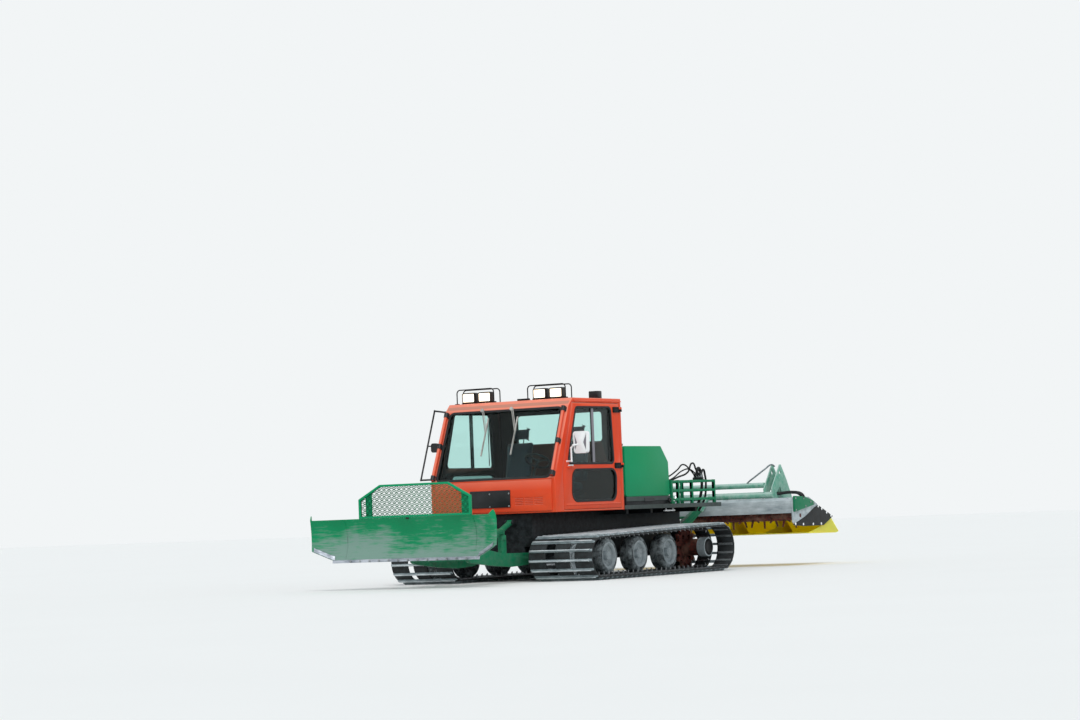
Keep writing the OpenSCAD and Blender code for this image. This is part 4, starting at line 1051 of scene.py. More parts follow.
CARRIED = (
    Carried(BLACK, "black_paint", {
        "hull": 0.004, "deck": 0.003, "lamp_guards": 0.0, "door_hinges": 0.0, "axles": 0.0,
    }),
    Carried(ORANGE, "orange_paint", {"cab_shell": 0.007, "nose_panel": 0.003, "pillar_tubes": 0.0}),
    Carried(BLACK_PLASTIC, "black_plastic", {
        "nose_grille": 0.004, "dashboard": 0.0, "roof_box": 0.012, "mirror_right": 0.0,
    }),
    Carried(GLASS, "window_glass", {"cab_glass": 0.0}),
    Carried(CAST_IRON, "engine_iron", {"engine_block": 0.01}),
    Carried(GREEN, "green_paint", {"engine_box": 0.006}),
    Carried(LAMP_SHELL, "lamp_housing", {"roof_lamps": 0.004}),
    # The black-painted wipers drawn pale grey as a painted highlight.
    Carried(WIPER_HIGHLIGHT, "black_paint", {"wipers": 0.0}),
    Carried(FRAME_GREEN, "green_paint", {"deck_rails": 0.003}),
    Carried(HOSE_RUBBER, "black_plastic", {"deck_hydraulics": 0.0}),
    Carried(RIM_PAINT, "rim_paint", {"wheel_rims_left": 0.0, "wheel_rims_right": 0.0}),
    Carried(RUST, "rust_paint", {"sprockets": 0.002}),
    Carried(ORANGE, "orange_paint", {"door_left": 0.004, "door_right": 0.004}, OWN_BODY),
    Carried(GLASS, "window_glass", {"door_glass_left": 0.0}, "door_left"),
    Carried(GLASS, "window_glass", {"door_glass_right": 0.0}, "door_right"),
    Carried(WHITE_PLASTIC, "white_plastic", {"mirror_left": 0.0}, "door_left"),
    Carried(FRAME_GREEN, "green_paint", {
        "push_frame": 0.003, "rear_lift_frame": 0.003, "blade_lift_barrels": 0.0, "angle_barrel_left": 0.0,
        "angle_barrel_right": 0.0, "rear_lift_barrels": 0.0, "pitch_barrel": 0.0,
    }, OWN_BODY),
    Carried(CHROME, "rod_chrome", {
        "blade_lift_rods": 0.0, "angle_rod_left": 0.0, "angle_rod_right": 0.0, "rear_lift_rods": 0.0,
        "pitch_rod": 0.0,
    }, OWN_BODY),
    Carried(BLADE_GREEN, "green_paint", {"blade": 0.002}, OWN_BODY),
    Carried(EDGE_STEEL, "edge_steel", {"cutting_edge": 0.002}, "blade"),
    Carried(PALE_GREEN, "green_paint", {
        "tiller_carrier": 0.002, "tiller_top_tube": 0.002, "pitch_clevis": 0.002,
    }, TILLER),
    Carried(HOOD_STEEL, "hood_steel", {"tiller_hood": 0.002, "tiller_ends": 0.002}, TILLER),
    Carried(FRAME_GREEN, "green_paint", {"motor_caps": 0.006}, TILLER),
    Carried(RUBBER, "black_rubber", {"tiller_guards": 0.002}, TILLER),
    Carried(RUST, "rust_paint", {"tiller_rotor": 0.002}, OWN_BODY),
    Carried(YELLOW_PLASTIC, "finisher_plastic", {"finisher": 0.002}, OWN_BODY),
)


def line_window(
    seal: Piece, hole: Sequence[Point2], radius: float, axis: Axis, lip: Point2, sleeve: Point2,
    cover: float = 0.02, wall: float = 0.004, steps: int = 6, place: Matrix | None = None,
) -> None:
    """Adds the rubber lip round a window opening and the thin sleeve that lines it.

    Args:
        seal: The piece that they join.
        hole: The opening's corners.
        radius: Its corner radius.
        axis: The axis through the wall.
        lip: Where the lip starts and ends on that axis.
        sleeve: Where the sleeve starts and ends.
        cover: How far the lip covers the wall.
        wall: How far the sleeve reaches into the opening.
        steps: How many pieces each corner of the lip has.
        place: A transform applied last.
    """
    for near, far, reach, count, edge in (
        (-cover, 0.012, lip, steps, 0.003), (0.0005, wall, sleeve, 8, 0.0005)
    ):
        outer, inner = (rounded(inset(hole, d), radius - d, count) for d in (near, far))
        seal.prism(outer, axis, *reach, edge, place, inner)


CAB_HALF_W = 0.994
LEFT_MIRROR = ((1.100, 1.690), (1.300, 1.690), (1.312, 1.985), (1.088, 1.985))


@dataclass
class Cab:
    """Seals, rails, clamps, bolts and mirrors of the cab's shell."""

    nose_y: float = -2.198
    sill_z: float = 1.372
    rake: float = math.atan2(0.418, 0.972)
    screen_half_w: float = 0.904
    screen_l: float = 1.0581
    rear_y: float = -0.388
    clamp_r: float = 0.034

    def on_screen(self) -> Matrix:
        """Gives the transform from the windscreen's plane: X across, Y up the slope, Z outwards."""
        turn = Matrix.Rotation(math.pi / 2 - self.rake, 4, "X")
        return Matrix.Translation((0, self.nose_y, self.sill_z)) @ turn

    def screen_seal(self) -> None:
        """Builds the rubber seals of the windscreen and the rear pane."""
        w, top, y = self.screen_half_w, self.screen_l - 0.03, self.rear_y
        hole = [(-w, 0.026), (w, 0.026), (w - 0.012, top), (-w + 0.012, top)]
        pane = rect(-0.7, 1.87, 0.7, 2.3)
        lip, sleeve = (-0.004, 0.007), (-0.038, -0.003)
        seal = Piece("windscreen_seal")
        line_window(seal, hole, 0.06, Axis.Z, lip, sleeve, 0.022, place=self.on_screen())
        line_window(seal, pane, 0.06, Axis.Y, *([y + d for d in reach] for reach in (lip, sleeve)))
        seal.done(RUBBER, "black_rubber")

    def shell_trim(self) -> None:
        """Builds the drip rails, tube clamps, cover bolts and corner bracket on the shell."""
        rails, clamps = Piece("roof_drip_rails"), Piece("pillar_tube_clamps")
        r = self.clamp_r
        for side in Side:
            low, high = side.span(CAB_HALF_W - 0.002, CAB_HALF_W + 0.012)
            rails.block((low, -1.64, 2.403), (high, self.rear_y - 0.004, 2.416), 0.003)
            for along in (0.06, self.screen_l / 2, self.screen_l - 0.06):
                x = side.value * (0.956 - 0.014 * along / self.screen_l)
                foot = self.on_screen() @ Matrix.Translation((x, along, 0))
                ring = foot @ Matrix.Translation((0, 0, r)) @ Matrix.Rotation(math.pi / 2, 4, "Z")
                clamps.lathe([(-r, 0.0243), (r, 0.0243), (r, 0.032), (-r, 0.032)], (0, 0, 0), 24, ring)
                clamps.block((-r, -r, -0.001), (r, r, 0.016), 0.004, foot)
        rails.done(ORANGE, "orange_paint")
        clamps.done(BLACK_PLASTIC, "black_plastic")
        bolts = Piece("cover_bolts")
        for x in (-0.335, -0.03, 0.275):
            for z in (1.022, 1.19):
                bolts.bolt((x, self.nose_y - 0.03, z), (0, -1, 0), 0.009, 0.006)
        bolts.done(BOLT_STEEL, "rod_chrome")
        bracket = Piece("cab_corner_bracket")
        bracket.block((0.90, self.rear_y, 1.80), (0.972, self.rear_y + 0.06, 1.83), 0.004)
        bracket.block((0.92, self.rear_y + 0.03, 1.80), (0.95, self.rear_y + 0.06, 1.90), 0.004)
        bracket.done(BLACK_PLASTIC, "black_plastic")

    def mirrors(self) -> None:
        """Builds the left mirror's rimmed back with its raised middle, and both mirrors' glass."""
        body, face = "door_left", -1.849
        shell = Piece("mirror_left_rim")
        rim = rounded(inset(LEFT_MIRROR, 0.013), 0.03)
        shell.prism(rounded(LEFT_MIRROR, 0.04), Axis.Y, -1.860, face, 0.002, hole=rim)
        shell.prism(
            [(1.115, 1.703), (1.288, 1.703), (1.247, 1.835), (1.296, 1.972), (1.104, 1.972), (1.152, 1.835)],
            Axis.Y, -1.862, face, 0.004,
        )
        shell.done(WHITE_PLASTIC, "white_plastic", body)
        # Painted shade: the hollows of the white mirror back are grey to stand for the shade on its facets.
        shaded_hollow = Piece("mirror_left_hollows")
        for corners in (
            [(1.120, 1.735), (1.155, 1.835), (1.110, 1.945)], [(1.283, 1.735), (1.293, 1.945), (1.243, 1.835)]
        ):
            shaded_hollow.prism(corners, Axis.Y, -1.8515, face)
        shaded_hollow.done(GREY_PLASTIC_AND_SHADE, "white_plastic", body)
        for name, corners, y, part in (
            ("left", LEFT_MIRROR, -1.79, body), ("right", rect(-1.130, 1.798, -1.028, 1.926), -1.92, MACHINE)
        ):
            pane = Piece(f"mirror_glass_{name}")
            pane.prism(rounded(inset(corners, 0.012), 0.024), Axis.Y, y - 0.001, y + 0.002, 0.001)
            pane.done(MIRROR, "rod_chrome", part)

    def build(self) -> None:
        """Builds all of the shell's trim."""
        self.screen_seal()
        self.shell_trim()
        self.mirrors()


@dataclass
class Door:
    """Window seals, hinge straps, handle, foot bead and sliding pane frame of one door."""

    side: Side
    windows: tuple[tuple[float, tuple[Point2, ...]], ...] = (
        (0.06, ((-1.853, 1.565), (-0.636, 1.565), (-0.679, 2.325), (-1.596, 2.318))),
        (0.12, ((-1.767, 1.058), (-0.610, 1.062), (-0.577, 1.479), (-1.736, 1.473))),
    )
    hinge_zs: tuple[float, ...] = (1.534, 2.302)
    hinge_y: float = -0.428

    def end(self, piece: Piece, finish: Finish, slot: str) -> None:
        """Ends a piece that rides on this door, with its finish."""
        piece.done(finish, slot, f"door_{self.side.label}")

    def piece(self, name: str) -> Piece:
        """Starts a piece whose name ends with the door's side."""
        return Piece(f"{name}_{self.side.label}")

    def span(self, inner: float, outer: float) -> tuple[float, float]:
        """Gives the low and the high X between two distances from the door's skin."""
        return self.side.span(CAB_HALF_W + inner, CAB_HALF_W + outer)

    def seals(self) -> None:
        """Builds the seals round both windows."""
        seal = self.piece("door_window_seals")
        lip, sleeve = self.span(-0.004, 0.006), self.span(-0.041, -0.003)
        for radius, window in self.windows:
            line_window(seal, window, radius, Axis.X, lip, sleeve, 0.018, 0.0045, 8)
        self.end(seal, RUBBER, "black_rubber")

    def hinge_straps(self) -> None:
        """Builds the black straps and bolts over the hinges."""
        s = self.side.value
        straps = self.piece("door_hinge_straps")
        for z in self.hinge_zs:
            outline = rounded(rect(self.hinge_y - 0.19, z - 0.047, self.hinge_y - 0.018, z + 0.032), 0.012, 3)
            straps.prism(outline, Axis.X, *self.span(0.001, 0.016), 0.003)
            for y in (-0.165, -0.11, -0.055):
                for dz in (-0.028, 0.014):
                    straps.bolt((s * (CAB_HALF_W + 0.016), self.hinge_y + y, z + dz), (s, 0, 0), 0.008, 0.007)
        self.end(straps, BLACK, "black_paint")

    def trim(self) -> None:
        """Builds the handle, the pressed bead along the foot and the frame of the sliding pane."""
        s = self.side.value
        handle = self.piece("door_handle")
        bow = ((0.004, -1.86, 1.535), (0.03, -1.84, 1.537), (0.03, -1.77, 1.537), (0.004, -1.74, 1.535))
        handle.hose([(s * (CAB_HALF_W + out), y, z) for out, y, z in bow], 0.008)
        self.end(handle, WHITE_PLASTIC, "white_plastic")
        bead = self.piece("door_bead")
        outline = rounded(rect(-1.93, 1.0, -0.49, 1.018), 0.006, 3)
        bead.prism(outline, Axis.X, *self.span(-0.002, 0.005), 0.003)
        self.end(bead, ORANGE, "orange_paint")
        slide, stile = self.piece("sliding_pane_frame"), self.piece("sliding_pane_stile")
        low, high = self.span(-0.0155, -0.008)
        for part, y0, z0, y1, z1 in (
            (slide, -1.205, 1.575, -1.18, 2.31), (slide, -0.735, 1.60, -0.72, 2.24),
            (stile, -1.18, 1.575, -1.118, 2.31),
        ):
            part.block((low, y0, z0), (high, y1, z1), 0.002)
        self.end(slide, RUBBER, "black_rubber")
        self.end(stile, GREY_PLASTIC_AND_SHADE, "black_plastic")

    def build(self) -> None:
        """Builds all of the door's trim."""
        self.seals()
        self.hinge_straps()
        self.trim()


@dataclass
class DeckTrim:
    """The sill bands with their latches, the marker strips, and the hoses and couplings over the deck."""

    box_half_w: float = 0.952
    deck_half_w: float = 0.99
    routes: tuple[tuple[float, tuple[Point3, ...]], ...] = (
        (0.011, (
            (0.52, 1.42, 1.30), (0.64, 1.55, 1.38), (0.70, 1.66, 1.455), (0.70, 1.85, 1.54), (0.70, 2.07, 1.46),
            (0.68, 2.25, 1.36),
        )),
        (0.010, (
            (0.48, 1.42, 1.27), (0.62, 1.62, 1.33), (0.68, 1.86, 1.45), (0.70, 2.05, 1.47), (0.73, 2.24, 1.37)
        )),
        (0.013, (
            (0.55, 1.40, 1.25), (0.64, 1.80, 1.36), (0.68, 2.03, 1.43), (0.70, 2.15, 1.56), (0.72, 2.21, 1.46),
            (0.76, 2.27, 1.36),
        )),
        (0.022, (
            (0.70, 2.25, 1.38), (0.70, 2.31, 1.485), (0.69, 2.40, 1.42), (0.68, 2.445, 1.30),
            (0.64, 2.46, 1.08), (0.55, 2.46, 0.88),
        )),
        (0.016, (
            (0.77, 2.25, 1.38), (0.77, 2.33, 1.46), (0.75, 2.42, 1.38), (0.74, 2.455, 1.25), (0.70, 2.46, 1.02),
            (0.60, 2.46, 0.86),
        )),
    )

    def bands(self) -> None:
        """Builds the grey bands, latch plates, drain fittings and white marker strips of both sides."""
        band, latch, strip = Piece("sill_bands"), Piece("sill_latches"), Piece("marker_strips")
        for side in Side:
            s = side.value
            low, high = side.span(self.box_half_w - 0.001, self.box_half_w + 0.005)
            band.block((low, -0.262, 1.03), (high, 0.975, 1.093), 0.002)
            low, high = side.span(self.deck_half_w, self.deck_half_w + 0.004)
            band.block((low, -0.374, 0.92), (high, 2.436, 0.976), 0.0015)
            low, high = side.span(self.box_half_w + 0.004, self.box_half_w + 0.012)
            latch.block((low, 0.237, 1.018), (high, 0.516, 1.072), 0.003)
            drain = [(0, 0.014), (s * 0.03, 0.014), (s * 0.03, 0.03), (0, 0.034)]
            latch.lathe(drain, (s * (self.box_half_w + 0.004), 0.93, 1.03), 20)
            low, high = side.span(0.915, 0.945)
            strip.block((low, 0.83, 0.872), (high, 1.13, 0.893), 0.003)
            for y in (0.88, 1.08):
                strip.block((low + 0.01, y, 0.89), (high - 0.01, y + 0.015, 0.919), 0.0)
        band.done(BAND_GREY, "black_paint")
        latch.done(BLACK_PLASTIC, "black_plastic")
        strip.done(WHITE_PLASTIC, "white_plastic")

    def hoses(self) -> None:
        """Builds the hoses from the valve block to the coupling bracket on the rear rail."""
        hoses = Piece("deck_hoses")
        for radius, points in self.routes:
            hoses.hose(points, radius)
        hoses.done(HOSE_RUBBER, "black_rubber")
        bracket = Piece("coupling_bracket")
        bracket.block((0.63, 2.225, 1.306), (0.81, 2.31, 1.318), 0.003)
        bracket.block((0.64, 2.235, 1.316), (0.80, 2.285, 1.35), 0.004)
        bracket.done(BLACK_PLASTIC, "black_plastic")
        couplings = Piece("hose_couplings")
        for x in (0.665, 0.70, 0.735, 0.77):
            couplings.lathe(
                [(0, 0.001), (0, 0.018), (0.045, 0.018), (0.045, 0.013), (0.06, 0.013), (0.06, 0.001)],
                (x, 2.26, 1.345), 12, Matrix.Rotation(-math.pi / 2, 4, "Y"),
            )
        couplings.done(BOLT_STEEL, "rod_chrome")

    def build(self) -> None:
        """Builds all of the deck's trim."""
        self.bands()
        self.hoses()


@dataclass
class RoofLights:
    """Lit lenses and bezels of the four roof lamps, and the brackets along the roof's front."""

    pair_x: float = 0.575
    apart: float = 0.13
    face_y: float = -1.62
    half_w: float = 0.106
    low_z: float = 2.46
    high_z: float = 2.604
    roof_z: float = 2.449

    def build(self) -> None:
        """Builds the lenses, their bezels and the brackets."""
        lenses, bezels = Piece("roof_lamp_lenses"), Piece("roof_lamp_bezels")
        y, z = self.face_y, self.roof_z
        for side in Side:
            for step in (-1, 1):
                x = side.value * self.pair_x + step * self.apart
                face = rect(x - self.half_w, self.low_z, x + self.half_w, self.high_z)
                lenses.prism(rounded(inset(face, 0.016), 0.012, 4), Axis.Y, y - 0.006, y + 0.004, 0.003)
                outer, inner = rounded(inset(face, 0.004), 0.02, 4), rounded(inset(face, 0.017), 0.011, 4)
                bezels.prism(outer, Axis.Y, y - 0.01, y + 0.004, 0.002, hole=inner)
        lenses.done(LENS, "lamp_housing")
        bezels.done(BLACK_PLASTIC, "black_plastic")
        feet = Piece("roof_front_brackets")
        feet.block((0.11, -1.665, z), (0.30, -1.635, z + 0.027), 0.003)
        for x in (-0.875, -0.275, 0.275, 0.875):
            for y in (-1.65, -1.49):
                feet.block((x - 0.03, y - 0.018, z), (x + 0.03, y + 0.018, z + 0.009), 0.002)
        feet.done(BLACK, "black_paint")


@dataclass
class Track:
    """One track: three belts, cross bars with bright edges and bolts, and guide horns beside the tyres."""

    side: Side
    middle: float = 1.11
    width: float = 0.98
    wheel_y: float = -2.07
    pitch: float = 0.838
    tyre_r: float = 0.2503
    belt_t: float = 0.02
    sprocket_r: float = 0.29
    bar_h: float = 0.035
    bar_w: float = 0.034
    bars: int = 66
    belts: tuple[Point2, ...] = ((0.0, 0.26), (0.40, 0.22), (0.71, 0.27))

    def __post_init__(self) -> None:
        """Works out the loop's shape from its sizes."""
        self.front_r = self.tyre_r + self.belt_t
        self.rear_r = self.sprocket_r + self.belt_t
        self.front_z = self.front_r + self.bar_h
        self.rear_z = self.rear_r + self.bar_h
        self.rear_y = self.wheel_y + 4 * self.pitch + 0.058
        run = self.rear_y - self.wheel_y
        dist = math.hypot(run, self.rear_z - self.front_z)
        wrap = math.asin((self.rear_r - self.front_r) / dist)
        self.tilt = math.atan2(self.rear_z - self.front_z, run) + wrap
        self.straight = dist * math.cos(wrap)
        self.rear_arc = math.pi + self.tilt
        self.front_arc = math.pi - self.tilt
        self.length = 2 * self.straight + self.rear_arc * self.rear_r + self.front_arc * self.front_r

    def rear(self, a: float) -> Point2:
        """Gives the point of the belts' outer face at an angle about the sprocket."""
        return self.rear_y + self.rear_r * math.cos(a), self.rear_z + self.rear_r * math.sin(a)

    def place(self, s: float) -> tuple[float, float, float]:
        """Finds a point of the belts' outer face.

        Args:
            s: The distance along the loop from the foot of the first wheel.

        Returns:
            Its Y and Z, and the angle of the outward direction from +Y, in radians.
        """
        if s < self.straight:
            return self.wheel_y + s, self.bar_h, -math.pi / 2
        s -= self.straight
        if s < self.rear_arc * self.rear_r:
            a = -math.pi / 2 + s / self.rear_r
            return *self.rear(a), a
        s -= self.rear_arc * self.rear_r
        a = math.pi / 2 + self.tilt
        if s < self.straight:
            y, z = self.rear(a)
            return y - s * math.cos(self.tilt), z - s * math.sin(self.tilt), a
        a += (s - self.straight) / self.front_r
        return self.wheel_y + self.front_r * math.cos(a), self.front_z + self.front_r * math.sin(a), a

    def loop(self, depth: float, steps: int = 20) -> list[Point2]:
        """Gives a closed outline along the track.

        Args:
            depth: How far it lies inside the belts' outer face.
            steps: How many corners each of its two arcs has.

        Returns:
            The outline as (Y, Z).
        """
        made = []
        for start, arc, y, z, r in (
            (-math.pi / 2, self.rear_arc, self.rear_y, self.rear_z, self.rear_r),
            (math.pi / 2 + self.tilt, self.front_arc, self.wheel_y, self.front_z, self.front_r),
        ):
            step = arc / steps
            far = (r - depth) / math.cos(step / 2)
            for i in range(steps):
                a = start + (i + 0.5) * step
                made.append((y + far * math.cos(a), z + far * math.sin(a)))
        return made

    def bar(self) -> bpy.types.Mesh:
        """Builds one cross bar on the X axis: a ribbed profile whose ends are cut back.

        Returns:
            The bar, to be stamped.
        """
        bar = Piece("bar_template")
        half, h, w = self.bar_w / 2, self.bar_h, self.width / 2
        right = [(half, -0.003), (half, 0.004), (0.009, 0.009), (0.007, h - 0.007), (0.0035, h)]
        left = [(-y, z) for y, z in reversed(right)]
        bar.prism([left[-1], *right, *left[:-1]], Axis.X, -w + 0.003, w - 0.003)
        for v in bar.work.verts:
            if v.co.z > 0.01:
                v.co.x *= (w - 0.03) / w
        return bar.mesh()

    def cap(self) -> bpy.types.Mesh:
        """Builds the worn edge of one cross bar, whose bright steel is partly a painted highlight.

        Returns:
            The edge, to be stamped.
        """
        cap = Piece("cap_template")
        w, h = self.width / 2 - 0.031, self.bar_h
        profile = [(-0.0085, h - 0.012), (0.0085, h - 0.012), (0.0045, h + 0.0004), (-0.0045, h + 0.0004)]
        cap.prism(profile, Axis.X, -w, w)
        return cap.mesh()

    def fitting(self) -> bpy.types.Mesh:
        """Builds the clamp plates and bolts of one cross bar, inside the belts.

        Returns:
            The fittings, to be stamped.
        """
        fit = Piece("fitting_template")
        t = self.belt_t
        for start, width in self.belts:
            a = start - self.width / 2
            b = a + width
            fit.block((a + 0.02, -0.016, -t - 0.004), (b - 0.02, 0.016, -t + 0.001), 0.0015)
            for x in (a + 0.05, b - 0.05):
                for y in (-0.013, 0.013):
                    fit.bolt((x, y, 0.002), (0, 0, 1), 0.007, 0.008)
        return fit.mesh()

    def horn(self) -> bpy.types.Mesh:
        """Builds the two guide horns that run beside the tyres, under one cross bar.

        Returns:
            The horns, to be stamped.
        """
        horn = Piece("horn_template")
        shape = [(-0.016, 0.0), (-0.005, -0.062), (0.005, -0.062), (0.016, 0.0)]
        for x in (-0.119, 0.119):
            horn.prism(shape, Axis.X, x - 0.003, x + 0.003, 0.001)
        return horn.mesh()

    def build(self) -> None:
        """Builds the track in place of its node."""
        name, node = self.side.label, (f"track_{self.side.label}",)
        belts = Piece(f"track_belts_{name}")
        for start, width in self.belts:
            a = self.middle - self.width / 2 + start
            low, high = self.side.span(a, a + width)
            belts.prism(self.loop(0.0), Axis.X, low, high, 0.003, hole=self.loop(self.belt_t))
        belts.done(BELT_RUBBER, "tyre_rubber", replaces=node)
        bars, caps, fittings = (Piece(f"track_{part}_{name}") for part in ("bars", "bar_edges", "fittings"))
        stamps = ((bars, self.bar()), (caps, self.cap()), (fittings, self.fitting()), (fittings, self.horn()))
        for i in range(self.bars):
            y, z, a = self.place(self.length * i / self.bars)
            here = Matrix.Translation((self.side.value * self.middle, y, z))
            here = here @ Matrix.Rotation(a - math.pi / 2, 4, "X")
            if self.side is Side.RIGHT:
                here = here @ Matrix.Scale(-1, 4, (1, 0, 0))
            for piece, mesh in stamps:
                piece.stamp(mesh, here)
        bars.done(BAR_STEEL, "bar_steel", replaces=node)
        # The bars' top edges: worn steel, brightened as a painted highlight.
        caps.done(BAR_EDGE_AND_HIGHLIGHT, "bar_steel")
        fittings.done(BOLT_STEEL, "bar_steel")


@dataclass
class RoadWheels:
    """One side's grooved tyres, its wheel nuts and rim flanges, and the cover of its sprocket's hub."""

    side: Side
    middle: float = 1.11
    wheel_y: float = -2.07
    pitch: float = 0.838
    axle_z: float = 0.3053
    rim_r: float = 0.15
    tyre_r: float = 0.25
    half_w: float = 0.1
    nut_r: float = 0.088
    hub: Point3 = (0.0, 1.34, 0.345)
    hub_band: tuple[Point2, ...] = (
        (1.225, 0.1365), (1.344, 0.1365), (1.3475, 0.133), (1.3475, 0.118), (1.3455, 0.118), (1.225, 0.118)
    )
    hub_disc: tuple[Point2, ...] = (
        (1.3455, 0.001), (1.3455, 0.117), (1.349, 0.117), (1.351, 0.105), (1.3625, 0.098), (1.366, 0.09),
        (1.366, 0.001),
    )

    def tyre_profile(self) -> list[Point2]:
        """Mirrors half of the tyre's section to a whole, from bead to bead.

        Returns:
            The section as (across, radius).
        """
        w, r = self.half_w, self.tyre_r
        outer = [
            (w - 0.040, self.rim_r), (w - 0.014, self.rim_r + 0.006), (w - 0.003, self.rim_r + 0.022),
            (w, self.rim_r + 0.045), (w - 0.002, r - 0.046), (w - 0.005, r - 0.044), (w - 0.007, r - 0.034),
            (w - 0.004, r - 0.031), (w - 0.010, r - 0.018), (w - 0.030, r - 0.004), (0.052, r - 0.0005),
            (0.046, r - 0.0005), (0.044, r - 0.009), (0.038, r - 0.009), (0.036, r), (0.014, r),
            (0.012, r - 0.009), (0.006, r - 0.009), (0.004, r),
        ]
        return outer + [(-a, b) for a, b in reversed(outer)]

    def flange_profile(self) -> list[Point2]:
        """Gives the section of the dished rim flange that grips a tyre's bead.

        Returns:
            The section as (across, radius).
        """
        w, r = self.half_w, self.rim_r
        return [
            (w - 0.006, r + 0.030), (w + 0.0015, r + 0.031), (w + 0.003, r + 0.024), (w - 0.002, r + 0.006),
            (w - 0.024, r - 0.010), (w - 0.038, r - 0.012), (w - 0.040, r - 0.006), (w - 0.028, r - 0.003),
            (w - 0.008, r + 0.012),
        ]

    def outward(self, profile: Sequence[Point2]) -> list[Point2]:
        """Turns a section so that it faces out on this side."""
        return [(self.side.value * a, b) for a, b in profile]

    def build(self) -> None:
        """Builds the tyres, nuts and flanges of one side, and the band and cover of its sprocket's hub."""
        name, s = self.side.label, self.side.value
        tyres = Piece(f"tyres_{name}_dressed")
        nuts, flanges = Piece(f"wheel_nuts_{name}"), Piece(f"rim_flanges_{name}")
        for i in range(4):
            x, y, z = centre = (s * self.middle, self.wheel_y + i * self.pitch, self.axle_z)
            tyres.lathe(self.tyre_profile(), centre, 56)
            for k in range(6):
                a = k * math.tau / 6
                spot = (x + s * 0.026, y + self.nut_r * math.cos(a), z + self.nut_r * math.sin(a))
                nuts.bolt(spot, (s, 0, 0), 0.011, 0.016)
            flanges.lathe(self.outward(self.flange_profile()), centre, 56)
        tyres.done(TYRE_RUBBER, "tyre_rubber", replaces=(f"tyres_{name}",), smooth=40.0)
        nuts.done(BOLT_STEEL, "rod_chrome")
        flanges.done(RIM_PAINT, "rod_chrome", smooth=40.0)
        for part, profile, finish, slot in (
            ("hub_band", self.hub_band, RIM_PAINT, "edge_steel"),
            ("hub_cover", self.hub_disc, BLACK_PLASTIC, "black_plastic"),
        ):
            piece = Piece(f"{part}_{name}")
            piece.lathe(self.outward(profile), self.hub, 48)
            piece.done(finish, slot, smooth=40.0)


